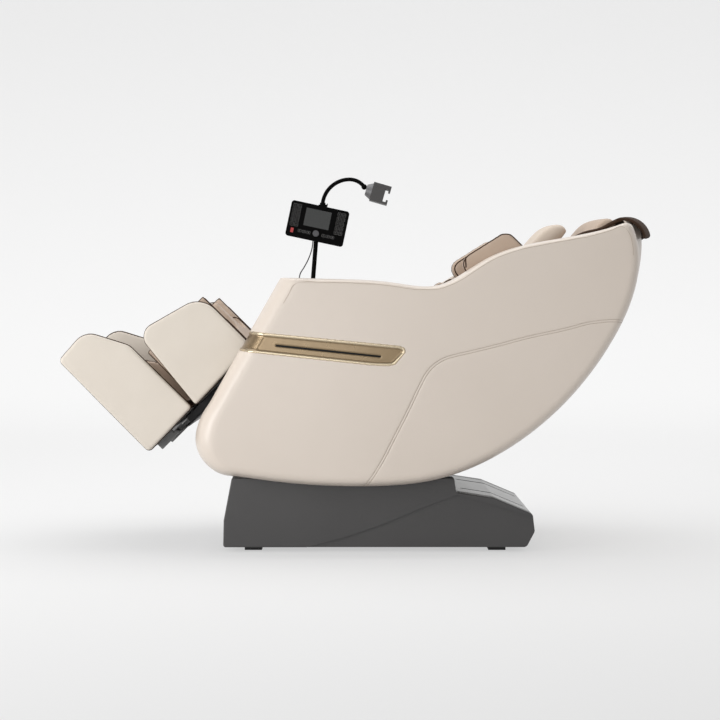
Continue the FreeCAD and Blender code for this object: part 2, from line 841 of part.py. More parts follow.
def seat_pan():
    """Board under the seat cushion, between the side rails."""
    half = size("shell_inner_face") - size("frame_tube")
    top = -size("seat_thickness")
    board = box_of(-400, 4, -half, half, top - 4, top, SEAT)
    keep(board, "seat_pan")


def actuator_lug(side):
    """One of two ears that hang from the rear tube to the actuator's upper pin."""
    body = doc.addObject("PartDesign::Body", "Ear")
    gap = size("actuator_rod_radius") + 3
    low, high = span(side, gap, gap + 6)
    x = size("actuator_top_x")
    z = size("actuator_top_z")
    corners = [(x - 14, z - 14), (x + 14, z - 14), (x + 16, z + 116), (x - 26, z + 116)]
    prism(body, "XZ_Plane", corners, low, high)
    bore(body, "XZ_Plane", (x, z), size("actuator_pin_radius"), low, high)
    return body


def cross_tube(centre, reach):
    start = centre + Vector(0, -reach, 0)
    end = centre + Vector(0, reach, 0)
    return tube_of(start, end, size("cross_tube_radius"))


def rocking_lug(side):
    """Plate that hangs from the cross tubes to the rocking pin."""
    body = doc.addObject("PartDesign::Body", "Lug")
    inner = size("post_place") - size("post_plate") - 0.4
    low, high = span(side, inner, size("post_place") - 0.4)
    pivot = size("pivot_height")
    head = size("pivot_radius") + 12
    corners = [(-head, pivot - head), (head, pivot - head), (190, 420), (140, 442), (-14, 496)]
    corners.append((-40, 486))
    prism(body, "XZ_Plane", corners, low, high)
    bore(body, "XZ_Plane", (0, pivot), size("pivot_radius") + size("bore_clearance"), low, high)
    return body


def leg_lug(side):
    """Plate from the front of the seat rail to the legrest hinge."""
    body = doc.addObject("PartDesign::Body", "LegLug")
    low, high = span(side, size("shell_inner_face") - size("frame_tube") - 8,
                     size("shell_inner_face") - size("frame_tube"))
    x = -size("leg_pivot_reach")
    z = size("leg_pivot_height")
    corners = [(x - 20, z - 12), (x, z - 24), (x + 130, z - 40), (x + 190, z + 10)]
    corners += [(x + 110, z + 36), (x + 12, z + 20), (x - 12, z + 20)]
    prism(body, "XZ_Plane", corners, low, high)
    bore(body, "XZ_Plane", (x, z), size("leg_pin_radius"), low, high)
    return body


def cushion_section(x, half, bottom, top, crown, draw):
    """Closed line-and-arc section across a cushion; its sides are drawn in."""
    middle = (bottom + top) / 2

    def at(y, z):
        return Vector(x, y, z)

    floor = Part.LineSegment(at(-half + draw, bottom), at(half - draw, bottom)).toShape()
    right = Part.Arc(at(half - draw, bottom), at(half, middle), at(half - draw, top)).toShape()
    roof = Part.Arc(at(half - draw, top), at(0, top + crown), at(-half + draw, top)).toShape()
    left = Part.Arc(at(-half + draw, top), at(-half, middle), at(-half + draw, bottom)).toShape()
    return Part.Wire([floor, right, roof, left])


LEVEL_FLOOR = (0, 0, 0, 0, 0, 0)


def cushion(label, place, start, end, half, bottom, top, crown, floor_rise=LEVEL_FLOOR):
    """A crowned cushion whose ends and sides are drawn in."""
    length = end - start
    thick = top - bottom
    stations = ((0, 1), (0.06, 0.3), (0.25, 0), (0.75, 0), (0.94, 0.3), (1, 1))
    sections = []
    for (share, shrink), rise in zip(stations, floor_rise):
        sections.append(
            cushion_section(
                start + length * share,
                half - 10 * shrink,
                bottom + rise,
                top - thick * 0.3 * shrink,
                crown * (1 - 0.8 * shrink),
                min(12, thick * 0.2),
            )
        )
    shape = Part.makeLoft(sections, True, False)
    return feature(label, shape, place)


def soft_parts():
    half = mm("cushion_half_width")
    cushion("seat_cushion", SEAT, -mm("seat_length"), -8, half, -mm("seat_thickness") + 0.3, -12, 12)
    back_end = mm("back_length")
    thick = mm("back_thickness")
    cushion("back_cushion", BACK, 30, back_end, half, -thick, -10, 10)
    cushion("head_pad", BACK, back_end + 3, back_end + 195, 262, -thick, -14, 14)


def shoulder_wing(name, side):
    """Upright leather pad beside the shoulder, square to the back."""
    body = new_body(f"shoulder_wing_{name}", BACK)
    low, high = span(side, size("cushion_half_width") + size("pad_gap"), size("shell_inner_face"))
    foot = -size("back_thickness")
    front = (342, 196)
    peak = (520, 162)
    corners = [(322, foot), front, peak, (532, foot)]
    prism(body, "XZ_Plane", corners, low, high)
    round_corners(body, 1, [front, peak], 34)
    round_face(body, 1, side * low_level(low, high), 18)


def low_level(low, high):
    """The y distance of a span's face that looks at the chair's middle."""
    return min(abs(low.value), abs(high.value))


def arm_pad(name, side):
    """Padded inner side of the armrest."""
    body = new_body(f"arm_pad_{name}")
    low, high = span(side, size("cushion_half_width") + size("pad_gap"), size("shell_inner_face"))
    front = (-205, 835)
    corners = [(-170, 640), front, (235, 838), (290, 880), (296, 700), (210, 590)]
    prism(body, "XZ_Plane", corners, low, high)
    round_corners(body, 1, [front], 30)
    round_corners(body, 1, [corners[3]], 14)
    round_face(body, 1, side * low_level(low, high), 14)


BACK_SHELL_LINE = (
    (330, 292, 70, 10),
    (440, 338, 60, 16),
    (610, 478, 48, 30),
    (752, 672, 32, 48),
    (830, 850, 12, 66),
    (842, 950, 0, 76),
    (834, 1022, -10, 80),
    (822, 1052, -12, 78),
)


def back_shell():
    """Thin moulding behind the back, bowed out more and more towards the head."""
    half = mm("shell_inner_face")
    wall = mm("hood_wall")
    scale = mm("hood_bulge") / BACK_SHELL_LINE[-1][3]
    sections = []
    for x, z, heading, bulge in BACK_SHELL_LINE:
        tilt = math.radians(heading)
        outward = Vector(math.cos(tilt), 0, -math.sin(tilt))
        root = Vector(x, 0, z)
        side = Vector(0, half, 0)
        bow = outward * bulge * scale
        inner = outward * -wall
        outer_arc = Part.Arc(root - side, root + bow, root + side).toShape()
        right = Part.LineSegment(root + side, root + side + inner).toShape()
        inner_arc = Part.Arc(root + side + inner, root + bow + inner, root - side + inner).toShape()
        left = Part.LineSegment(root - side + inner, root - side).toShape()
        sections.append(Part.Wire([outer_arc, right, inner_arc, left]))
    shell = Part.makeLoft(sections, True, False).cut(lip_form(mm("lip_seat_gap"), mm("lip_cut_height")))
    feature("back_shell", shell)


def lip_form(lower, higher):
    """Padded band over the head end; its under and upper faces can be moved apart."""
    half = mm("shell_inner_face")
    bulge = mm("lip_bulge")
    thick = mm("lip_thickness")
    edge_x = mm("lip_tip_reach") - bulge
    sections = []
    for share in (-1, -0.6, 0, 0.6, 1):
        y = half * share
        bow = bulge * (1 - share**2)
        rise = mm("lip_crown") * (1 - share**2)
        inner = Vector(edge_x - mm("lip_run") + bow, y, mm("lip_front_height") + rise)
        outer = Vector(edge_x + bow, y, mm("lip_edge_height") + rise)
        bend = Vector(edge_x - mm("lip_bend_run") + bow, y, mm("lip_bend_height") + rise)
        up = Vector(0, 0, higher)
        down = Vector(-thick * 0.7, 0, -thick - lower)
        top = Part.Arc(inner + up, bend + up, outer + up).toShape()
        edge = Part.LineSegment(outer + up, outer + down).toShape()
        under = Part.Arc(outer + down, bend + down, inner + down).toShape()
        back = Part.LineSegment(inner + down, inner + up).toShape()
        sections.append(Part.Wire([top, edge, under, back]))
    return Part.makeLoft(sections, True, False)


def hood_lip():
    feature("hood_lip", lip_form(0, 0))


def head_pillow():
    """Wedge that rests on the back by its lower half; its upper end stands clear."""
    low_end = Vector(mm("pillow_low_reach"), 0, mm("pillow_low_level"))
    place = FreeCAD.Placement(low_end, FreeCAD.Rotation(Y_AXIS, -mm("pillow_angle")))
    cushion("head_pillow", place, 0, mm("pillow_length"), mm("pillow_half_width"),
            -mm("pillow_depth"), mm("pillow_thickness"), 6, (0, 0.8, 4, 20, 31, 34))


# Legrest: calf unit, slider channels, foot unit


def leg_panel(name, side, unit, corners, roundings):
    """Leather-covered side panel of the calf or foot unit."""
    body = new_body(f"{unit}_panel_{name}", LEG)
    outer = size("leg_half_width")
    low, high = span(side, outer - size("leg_panel"), outer)
    prism(body, "XZ_Plane", corners, low, high)
    for corner, radius in roundings:
        round_corners(body, 1, [corner], radius)
    round_face(body, 1, side * outer.value, size("panel_rounding"))
    return body


def calf_panel(name, side):
    top = size("calf_top_end")
    bottom = -size("calf_bottom_end")
    back = size("calf_back")
    lip = size("calf_lip_height")
    heel = (bottom, back)
    knee = (top, back + 6)
    thigh = (top, lip - 58)
    shin = (bottom + 30, lip + 4)
    corners = [heel, knee, thigh, shin]
    roundings = [(heel, 8), (knee, 25), (thigh, 75), (shin, 42)]
    leg_panel(name, side, "calf", corners, roundings)


def foot_panel(name, side):
    start = -size("calf_bottom_end") - size("foot_gap")
    end = start - size("foot_unit_length")
    back = size("calf_back")
    lip = size("foot_lip_height")
    heel = (start, back + 4)
    instep = (start - 2, back + 280)
    arch = (start - 70, lip + 2)
    toe = (end + 4, lip - 6)
    sole = (end, back)
    corners = [heel, sole, toe, arch, instep]
    roundings = [(heel, 10), (sole, 12), (toe, 14), (arch, 60), (instep, 60)]
    leg_panel(name, side, "foot", corners, roundings)


def calf_pad():
    """Two calf channels with a ridge between them, in one padded piece."""
    body = new_body("calf_pad", LEG)
    half = size("leg_half_width") - size("leg_panel")
    floor = size("calf_floor")
    back = size("calf_back")
    rim = size("calf_lip_height") - size("calf_rim_drop")
    rim_width = size("calf_rim_width")
    wall_width = size("calf_wall_width")
    ridge_foot = size("calf_ridge_foot")
    ridge_half = size("calf_ridge_half")
    ridge_top = rim - size("calf_ridge_drop")
    corners = [
        (-half, back),
        (half, back),
        (half, rim),
        (half - rim_width, rim),
        (half - wall_width, floor),
        (ridge_foot, floor),
        (ridge_half, ridge_top),
        (-ridge_half, ridge_top),
        (-ridge_foot, floor),
        (-half + wall_width, floor),
        (-half + rim_width, rim),
        (-half, rim),
    ]
    prism(body, "YZ_Plane", corners, -size("calf_bottom_end") + 8, size("calf_top_end"))
    round_corners(body, 0, [corners[4], corners[5], corners[8], corners[9]], 34)
    round_corners(body, 0, [corners[3], corners[10]], 16)
    round_corners(body, 0, [corners[6], corners[7]], 20)


def foot_pad():
    """Sole, heel wall and middle ridge that make the two foot wells."""
    body = new_body("foot_pad", LEG)
    half = size("leg_half_width") - size("leg_panel")
    start = -size("calf_bottom_end") - size("foot_gap")
    end = start - size("foot_unit_length")
    back = size("calf_back")
    lip = size("foot_lip_height")
    sole = size("sole_thickness")
    heel = size("heel_thickness")
    corner = (end + sole, back + heel)
    outline = [(start, back + 6), (end + 4, back + 6), (end + 4, lip - 16), (end + sole, lip - 16)]
    outline += [corner, (start, back + heel)]
    prism(body, "XZ_Plane", outline, -half, half)
    round_corners(body, 1, [corner], 40)
    ridge = [(start, back + heel - 4), (end + 8, back + heel - 4), (end + 8, lip - 40)]
    ridge += [(end + 80, lip - 60), (start - 4, back + 190)]
    prism(body, "XZ_Plane", ridge, -26, 26)
    foot_roller_wells(body, end)


def roller_level():
    """Height of the foot roller shafts above the foot unit's back."""
    return size("calf_back") + size("roller_height")


def foot_roller_wells(body, end):
    level = roller_level()
    high = size("sole_roller_radius") + 4
    deep = size("sole_roller_radius") * 2 + 6
    for _, side in SIDES:
        near, far = span(side, size("well_inner"), size("well_outer"))
        corners = [
            (end + 4 - 1, near),
            (end + 4 + deep, near),
            (end + 4 + deep, far),
            (end + 4 - 1, far),
        ]
        pocket(body, "XY_Plane", corners, level - high, level + high)


def foot_rollers(name, side):
    """Shaft across one foot well's sole with three massage rollers."""
    start = mm("calf_bottom_end") + mm("foot_gap")
    end = -start - mm("foot_unit_length")
    centre_x = end + 8 + mm("sole_roller_radius")
    level = mm("calf_back") + mm("roller_height")

    def at(y):
        return LEG.multVec(Vector(centre_x, side * y, level))

    inner_end = at(mm("well_inner") + mm("well_clearance"))
    outer_end = at(mm("well_outer") - mm("well_clearance"))
    pieces = [tube_of(inner_end, outer_end, size("sole_shaft_radius"))]
    half = mm("sole_roller_width") / 2
    for number in range(3):
        y = mm("first_roller_place") + number * mm("roller_spacing")
        pieces.append(tube_of(at(y - half), at(y + half), size("sole_roller_radius")))
    fused(f"foot_roller_{name}", pieces)


def sole_plate():
    """Flat cover under both feet that closes the roller wells."""
    body = new_body("sole_plate", LEG)
    start = -size("calf_bottom_end") - size("foot_gap")
    end = start - size("foot_unit_length")
    half = size("leg_half_width") - size("leg_panel")
    low = size("calf_back") + 6
    high = size("foot_lip_height") - 16
    corners = [(end + 1, low), (end + 4, low), (end + 4, high), (end + 1, high)]
    prism(body, "XZ_Plane", corners, -half, half)


def legrest_frame():
    """Back plate, arms to the hinge, and two channels for the footrest slider."""
    back = size("calf_back")
    half = size("leg_half_width") - size("leg_panel") - 4
    low = -size("leg_plate_low")
    pieces = [box_of(low, size("leg_plate_high"), -half, half, back - 4, back, LEG)]
    for _, side in SIDES:
        pieces.append(leg_arm(side))
        pieces.append(slider_channel(side))
    fused("legrest_frame", pieces)


def leg_arm(side):
    body = doc.addObject("PartDesign::Body", "LegArm")
    body.Placement = LEG
    outer = size("shell_inner_face") - size("frame_tube") - 8.4
    low, high = span(side, outer - 8, outer)
    back = size("calf_back")
    corners = [(-70, back - 1), (-16, -10), (0, -20), (16, -10), (50, back - 1)]
    prism(body, "XZ_Plane", corners, low, high)
    bore(body, "XZ_Plane", (0, 0), size("leg_pin_radius") + size("bore_clearance"), low, high)
    return body


def slider_channel(side):
    body = doc.addObject("PartDesign::Body", "Channel")
    body.Placement = LEG
    middle = size("slider_place") * side
    half = size("slider_width") / 2 + size("slider_clearance")
    wall = size("channel_wall")
    top = size("calf_back") - 4
    inside = top - wall
    floor = inside - size("slider_height") - size("slider_clearance") * 2
    corners = [
        (middle - half - wall, floor - wall),
        (middle + half + wall, floor - wall),
        (middle + half + wall, top + 1),
        (middle - half - wall, top + 1),
    ]
    low_end = -size("channel_low_end")
    high_end = size("channel_high_end")
    prism(body, "YZ_Plane", corners, low_end, high_end)
    hole = [
        (middle - half, floor),
        (middle + half, floor),
        (middle + half, inside),
        (middle - half, inside),
    ]
    pocket(body, "YZ_Plane", hole, low_end, high_end)
    return body


def leg_pin(side):
    outer = mm("shell_inner_face") - mm("frame_tube")
    start = Vector(-mm("leg_pivot_reach"), side * (outer - 24), mm("leg_pivot_height"))
    end = Vector(-mm("leg_pivot_reach"), side * (outer + 2), mm("leg_pivot_height"))
    return tube_of(start, end, size("leg_pin_radius"))


def legrest_back_cover():
    """Shallow dark cover under the calf unit and the slider channels."""
    body = new_body("legrest_back_cover", LEG)
    bottom = size("leg_cover_bottom")
    top = size("calf_back") - 4.3
    wall = 3
    half = size("slider_place") + 60
    corners = [
        (-275, top - 4),
        (-268, bottom + 14),
        (-228, bottom + 4),
        (60, bottom),
        (74, bottom + 18),
        (74, top),
        (74 - wall, top),
        (74 - wall, bottom + 18),
        (60 - wall, bottom + wall),
        (-228, bottom + 4 + wall),
        (-264, bottom + 16),
        (-270, top - 4),
    ]
    prism(body, "XZ_Plane", corners, -half, half)
    reach = size("slider_width") / 2 + 3
    for _, side in SIDES:
        middle = size("slider_place") * side
        notch = [(-280, middle - reach), (-250, middle - reach), (-250, middle + reach)]
        notch.append((-280, middle + reach))
        pocket(body, "XY_Plane", notch, bottom + 12, top + 1)


def footrest_frame():
    """Slider bars in the channels and the bracket that holds the foot unit."""
    start = -size("calf_bottom_end") - size("foot_gap")
    end = start - size("foot_unit_length")
    back = size("calf_back")
    top = back - 4 - size("channel_wall") - size("slider_clearance")
    half = size("slider_width") / 2
    pieces = []
    for _, side in SIDES:
        middle = size("slider_place") * side
        low = middle - half
        high = middle + half
        pieces.append(box_of(end + 12, -20, low, high, top - size("slider_height"), top, LEG))
        pieces.append(box_of(end + 12, -290, low, high, top - 1, back + 2, LEG))
    wide = size("leg_half_width") - size("leg_panel") - 3
    pieces.append(box_of(end + 6, start - 6, -wide, wide, back + 2, back + 6, LEG))
    fused("footrest_frame", pieces)


# Massage mechanism under the back cushion


def guide_rails():
    rail = size("rail_size")
    top = -size("back_thickness") - 12
    pieces = []
    for _, side in SIDES:
        low, high = span(side, size("rail_place"), size("rail_place") + rail)
        ends = (size("rail_low_end"), size("rail_high_end"))
        pieces.append(box_of(*ends, low, high, top - rail, top, BACK))
    fused("guide_rails", pieces)


def massage_carriage():
    """Steel cradle with a motor that rides between the guide rails."""
    rest = size("carriage_rest")
    length = size("carriage_length")
    inner = size("rail_place") - 0.4
    top = -size("back_thickness") - 12
    rail = size("rail_size")
    pieces = [box_of(rest, rest + length, -inner, inner, top - 98, top - 94, BACK)]
    for _, side in SIDES:
        low, high = span(side, inner - 5, inner)
        pieces.append(box_of(rest, rest + length, low, high, top - 98, top - rail / 2, BACK))
    pieces.append(box_of(rest + 20, rest + 110, -50, 50, top - 96, top - 60, BACK))
    fused("massage_carriage", pieces)


def kneading_unit():
    """Shaft across the carriage with a pair of skewed kneading wheels."""
    rest = mm("carriage_rest") + mm("carriage_length") / 2
    level = -mm("back_thickness") - 0.6 - mm("wheel_radius")
    reach = mm("rail_place") - 6
    centre = BACK.multVec(Vector(rest, 0, level))
    shaft = tube_of(centre - Vector(0, reach, 0), centre + Vector(0, reach, 0), size("shaft_radius"))
    pieces = [shaft]
    for _, side in SIDES:
        for spot in (mm("wheel_place"),):
            half = Vector(0, mm("wheel_width") / 2, 0)
            middle = centre + Vector(0, side * spot, 0)
            pieces.append(tube_of(middle - half, middle + half, size("wheel_radius")))
    fused("kneading_shaft", pieces)


# Tablet on its pole, and the phone holder


TABLET = FreeCAD.Placement(
    Vector(-156, mm("pole_place") - 14 - mm("tablet_stand_off"), 1075),
    FreeCAD.Rotation(Y_AXIS, mm("tablet_tilt")),
)


def pole_flange():
    """Round foot of the pole, let into the top of the armrest."""
    return Part.makeCylinder(mm("pole_radius") * 2.2, 12, POLE_FOOT)


def gland_solid():
    """Gland in the armrest that the tablet's lead goes into."""
    end = Vector(*LEAD_ROUTE[-1])
    return Part.makeCylinder(mm("lead_radius") + 4, 8, end - Vector(0, 0, 8))


def tablet_pole():
    direction = POLE_HEAD - POLE_FOOT
    start = POLE_FOOT + direction * 0.02
    pole = Part.makeCylinder(mm("pole_radius"), direction.Length * 0.98, start, direction)
    feature("tablet_pole", pole.fuse(pole_flange()))


def swivel_bracket():
    """Turns on the pole's head; its arm ends in the tilt hinge's barrel."""
    seat = POLE_HEAD + Vector(0, 0, 0.8)
    level = POLE_HEAD + Vector(0, 0, 35)
    hinge = TABLET.multVec(Vector(4, mm("tablet_stand_off"), 0))
    along = TABLET.Rotation.multVec(Vector(14, 0, 0))
    pieces = [
        tube_of(seat, seat + Vector(0, 0, 14), size("pole_radius") * 1.7),
        tube_of(seat, level, size("pole_radius")),
        tube_of(level + Vector(0, 4, 0), hinge, size("pole_radius") * 0.8),
        tube_of(hinge - along, hinge + along, size("tilt_barrel_radius")),
        tube_of(Vector(-172, 331, 1035.5), Vector(-172, 331, 1049), size("lead_radius") + 2),
        box_of(-176, -160, 327, 345, 1046, 1052),
    ]
    whole = doc.addObject("Part::MultiFuse", "Bracket")
    whole.Shapes = pieces
    eye = tube_of(hinge - along * 2, hinge + along * 2,
                  size("tilt_pin_radius") + size("bore_clearance"))
    drilled = doc.addObject("Part::Cut", "DrilledBracket")
    drilled.Base = whole
    drilled.Tool = eye
    keep(drilled, "swivel_bracket")


def tablet_hinge():
    """Two ears and a pin on the tablet's back."""
    half = size("tablet_thickness") / 2
    middle = size("tablet_stand_off")
    pieces = []
    for side in (-1, 1):
        low, high = (18.6, 24) if side > 0 else (-15.9, -10.4)
        pieces.append(box_of(low, high, half, middle + 9, -9, 9, TABLET))
    start = TABLET.multVec(Vector(-15.9, middle.value, 0))
    end = TABLET.multVec(Vector(24, middle.value, 0))
    pieces.append(tube_of(start, end, size("tilt_pin_radius")))
    fused("tablet_hinge", pieces)


POWER_KEY = (-83, -41)
PAD_KEY = (2, -36)


def power_key_corners(grow):
    half_w = size("power_key_width") / 2 + grow
    half_h = size("power_key_height") / 2 + grow
    x, z = POWER_KEY
    return [(x - half_w, z - half_h), (x + half_w, z - half_h), (x + half_w, z + half_h),
            (x - half_w, z + half_h)]


def tablet():
    """Case with its screen window and the two wells of the keys that press."""
    half_w = size("tablet_width") / 2
    half_h = size("tablet_height") / 2
    front = -size("tablet_thickness") / 2
    body = new_body("tablet_case", TABLET)
    corners = [(-half_w, -half_h), (half_w, -half_h), (half_w, half_h), (-half_w, half_h)]
    prism(body, "XZ_Plane", corners, front, size("tablet_thickness") / 2)
    round_corners(body, 1, corners, 10)
    round_face(body, 1, front.value, 2)
    window = [(-48, -16), (43, -16), (43, 47.5), (-48, 47.5)]
    pocket(body, "XZ_Plane", window, front, front + 3)
    gap = size("button_gap")
    deep = front + 4
    pocket(body, "XZ_Plane", power_key_corners(gap), front, deep)
    bore(body, "XZ_Plane", PAD_KEY, size("pad_key_radius") + gap, front, deep)
    screen = new_body("tablet_screen", TABLET)
    pane = [(-47.8, -15.8), (42.8, -15.8), (42.8, 47.3), (-47.8, 47.3)]
    prism(screen, "XZ_Plane", pane, front + 0.4, front + 3)


def keys():
    """Both keys stand proud by more than their travel, with room behind them."""
    front = -size("tablet_thickness") / 2
    proud = front - size("button_travel") - 0.5
    power = new_body("power_button", TABLET)
    prism(power, "XZ_Plane", power_key_corners(0), proud, front + 2.6)
    navigation = new_body("navigation_pad", TABLET)
    rod(navigation, "XZ_Plane", PAD_KEY, size("pad_key_radius"), proud, front + 2.6)


NECK_FOOT = Vector(-137, 0, 1148)


def neck_points():
    """Ends and tops of the two bends, in the plane of the tablet."""
    rise = mm("gooseneck_rise")
    fall = mm("gooseneck_fall")
    foot = NECK_FOOT + Vector(0, TABLET.Base.y, 0)
    lean = math.radians(8)
    top = foot + Vector(rise * math.cos(lean), 0, rise * (1 - math.sin(lean)))
    sweep = (math.pi / 2 - lean) / 2
    middle = top - Vector(rise * math.sin(sweep), 0, rise * (1 - math.cos(sweep)))
    turn = math.radians(mm("gooseneck_turn"))
    end = top + Vector(fall * math.sin(turn), 0, -fall * (1 - math.cos(turn)))
    half = turn / 2
    way = top + Vector(fall * math.sin(half), 0, -fall * (1 - math.cos(half)))
    return foot, middle, top, way, end


def gooseneck():
    """Flexible neck in its bent posture, with a foot in the clip and a ball at its end."""
    foot, middle, top, way, end = neck_points()
    path = Part.Wire([Part.Arc(foot, middle, top).toShape(), Part.Arc(top, way, end).toShape()])
    ring = Part.Wire(Part.Circle(foot, Vector(0, 0, 1), mm("gooseneck_radius")).toShape())
    neck = path.makePipeShell([ring], True, False)
    ball = Part.makeSphere(mm("gooseneck_radius") + 3, end)
    collar = Part.makeCylinder(mm("gooseneck_radius") + 3, 7, foot - Vector(0, 0, 6.7))
    feature("phone_gooseneck", neck.fuse([ball, collar]))


def neck_clip():
    """Clip over the tablet's upper edge that carries the neck."""
    top = size("tablet_height") / 2
    half = size("tablet_thickness") / 2
    block = box_of(-9, 22, -half - 4, half + 4, top - 14, top + 12, TABLET)
    slot = box_of(-10, 23, -half, half, top - 15, top, TABLET)
    seat = NECK_FOOT + Vector(0, TABLET.Base.y, -6.9)
    flat = tube_of(seat, seat + Vector(0, 0, 30), size("gooseneck_radius") * 3)
    clip = doc.addObject("Part::MultiFuse", "ClipTools")
    clip.Shapes = [slot, flat]
    cutout = doc.addObject("Part::Cut", "Clip")
    cutout.Base = block
    cutout.Tool = clip
    keep(cutout, "neck_clip")


def clamp_place():
    end = neck_points()[4]
    turn = FreeCAD.Rotation(Y_AXIS, mm("clamp_tilt"))
    middle = end + turn.multVec(Vector(60, 0, -8))
    return FreeCAD.Placement(middle, turn)


def phone_clamp():
    """Clamp block with a socket for the ball, a grey ring, and its fixed lower jaw."""
    place = clamp_place()
    half_w = size("clamp_half_width")
    half_h = size("clamp_half_height")
    pieces = [
        box_of(-30, 16, -half_w, half_w, -half_h, half_h - 14, place),
        box_of(16, 34, -half_w, half_w, -half_h, -half_h + 8, place),
        box_of(27, 34, -half_w, half_w, -half_h, -half_h + 16, place),
    ]
    whole = doc.addObject("Part::MultiFuse", "ClampBlock")
    whole.Shapes = pieces
    way = box_of(-16, 6, -18.3, 18.3, -10, half_h + 1, place)
    cutout = doc.addObject("Part::Cut", "Clamp")
    cutout.Base = whole
    cutout.Tool = way
    keep(cutout, "phone_clamp")
    ring = doc.addObject("Part::Cone", "Ring")
    bind(ring, "Radius1", half_h - 14)
    bind(ring, "Radius2", half_h - 3)
    ring.Height = 21
    turn = FreeCAD.Rotation(Y_AXIS, 90)
    ring.Placement = place * FreeCAD.Placement(Vector(-51, 0, 0), turn)
    socket = doc.addObject("Part::Sphere", "Socket")
    bind(socket, "Radius", size("gooseneck_radius") + 3 + size("bore_clearance"))
    socket.Placement = FreeCAD.Placement(neck_points()[4], FreeCAD.Rotation())
    collar = doc.addObject("Part::Cut", "Collar")
    collar.Base = ring
    collar.Tool = socket
    keep(collar, "clamp_ring")


def clamp_jaw():
    """Sprung upper jaw; its tongue slides in the clamp block."""
    place = clamp_place()
    half_w = size("clamp_half_width")
    half_h = size("clamp_half_height")
    fused("clamp_jaw", [
        box_of(-15.7, 5.7, -18, 18, -4, half_h - 13, place),
        box_of(-30, 34, -half_w, half_w, half_h - 13.7, half_h, place),
        box_of(27, 34, -half_w, half_w, half_h - 22, half_h, place),
    ])


def tangent_tube(points, radius):
    """Tube along straight runs joined by arcs as large as the runs allow."""
    edges = []
    here = points[0]
    for before, corner, after in zip(points, points[1:], points[2:]):
        into = (corner - before).normalize()
        out = (after - corner).normalize()
        half = into.getAngle(out) / 2
        reach = 0.45 * min((corner - before).Length, (after - corner).Length)
        bend = reach / math.tan(half)
        print(f"lead bend radius {bend:.0f} mm")
        start = corner - into * reach
        end = corner + out * reach
        inward = (out - into).normalize()
        middle = corner + inward * (bend / math.cos(half) - bend)
        edges.append(Part.LineSegment(here, start).toShape())
        edges.append(Part.Arc(start, middle, end).toShape())
        here = end
    edges.append(Part.LineSegment(here, points[-1]).toShape())
    path = Part.Wire(edges)
    ring = Part.Wire(Part.Circle(points[0], points[1] - points[0], radius).toShape())
    tube = path.makePipeShell([ring], True, False)
    print(f"lead volume {tube.Volume:.0f}, section times length {math.pi * radius**2 * path.Length:.0f}")
    return tube


def tablet_lead():
    points = [Vector(*point) for point in LEAD_ROUTE]
    feature("tablet_lead", tangent_tube(points, mm("lead_radius")))
    feature("lead_gland", gland_solid())


# Rocking actuator between base and body


def actuator_axis():
    low = Vector(mm("actuator_base_x"), 0, mm("actuator_base_z"))
    high = Vector(mm("actuator_top_x"), 0, mm("actuator_top_z"))
    return low, high, (high - low).normalize()


def actuator_bracket():
    """Clevis on the base pan that holds the actuator's lower pin."""
    x = size("actuator_base_x")
    z = size("actuator_base_z")
    floor = size("foot_height") + size("pan_thickness")
    gap = size("actuator_rod_radius") + 3.4
    pieces = []
    for _, side in SIDES:
        low, high = span(side, gap, gap + 6)
        pieces.append(box_of(x - 16, x + 16, low, high, floor, z + 14))
    start = Vector(x.value, -gap.value - 6, z.value)
    end = Vector(x.value, gap.value + 6, z.value)
    pieces.append(tube_of(start, end, size("actuator_pin_radius")))
    fused("actuator_bracket", pieces)


def actuator_tube():
    """Housing with an eye on the lower pin and a bore for the rod."""
    low, _, along = actuator_axis()
    radius = mm("actuator_tube_radius")
    eye_half = Vector(0, mm("actuator_rod_radius") + 3, 0)
    start = low + along * mm("actuator_tube_start")
    housing = Part.makeCylinder(radius, mm("actuator_tube_length"), start, along)
    neck = Part.makeCylinder(11, 24, low, along)
    eye = Part.makeCylinder(15, eye_half.y * 2, low - eye_half, Y_AXIS)
    whole = housing.fuse([neck, eye])
    hole = Part.makeCylinder(mm("actuator_rod_radius") + mm("bore_clearance"), 180, low + along * 46,
                             along)
    pin = Part.makeCylinder(mm("actuator_pin_radius") + mm("bore_clearance"), eye_half.y * 2 + 2,
                            low - eye_half - Vector(0, 1, 0), Y_AXIS)
    feature("actuator_tube", whole.cut([hole, pin]).removeSplitter())


def actuator_rod():
    """Rod with a wide eye round the body's pin."""
    _, high, along = actuator_axis()
    eye_half = Vector(0, mm("actuator_rod_radius") + 2.4, 0)
    rod_shape = Part.makeCylinder(mm("actuator_rod_radius"), mm("actuator_rod_length"),
                                  high - along * mm("actuator_tube_length"), along)
    eye = Part.makeCylinder(19, eye_half.y * 2, high - eye_half, Y_AXIS)
    hole = Part.makeCylinder(mm("actuator_pin_radius") + 6.5, eye_half.y * 2 + 2,
                             high - eye_half - Vector(0, 1, 0), Y_AXIS)
    feature("actuator_rod", rod_shape.fuse(eye).cut(hole).removeSplitter())


def actuator_pin():
    """The body's pin through its two ears."""
    gap = mm("actuator_rod_radius") + 9
    centre = Vector(mm("actuator_top_x"), 0, mm("actuator_top_z"))
    reach = Vector(0, gap, 0)
    return tube_of(centre - reach, centre + reach, size("actuator_pin_radius"))


def mains_inlet():
    """Socket for a mains lead, low in the rear wall of the base."""
    rear = size("base_rear_reach")
    low, high = INLET_WIDTH
    bottom, top = INLET_HEIGHT
    block = box_of(rear - 44, rear - 6, low, high, bottom, top)
    well = box_of(rear - 28, rear - 5, low + 6, high - 6, bottom + 5, top - 5)
    socket = doc.addObject("Part::Cut", "Socket")
    socket.Base = block
    socket.Tool = well
    keep(socket, "mains_inlet")


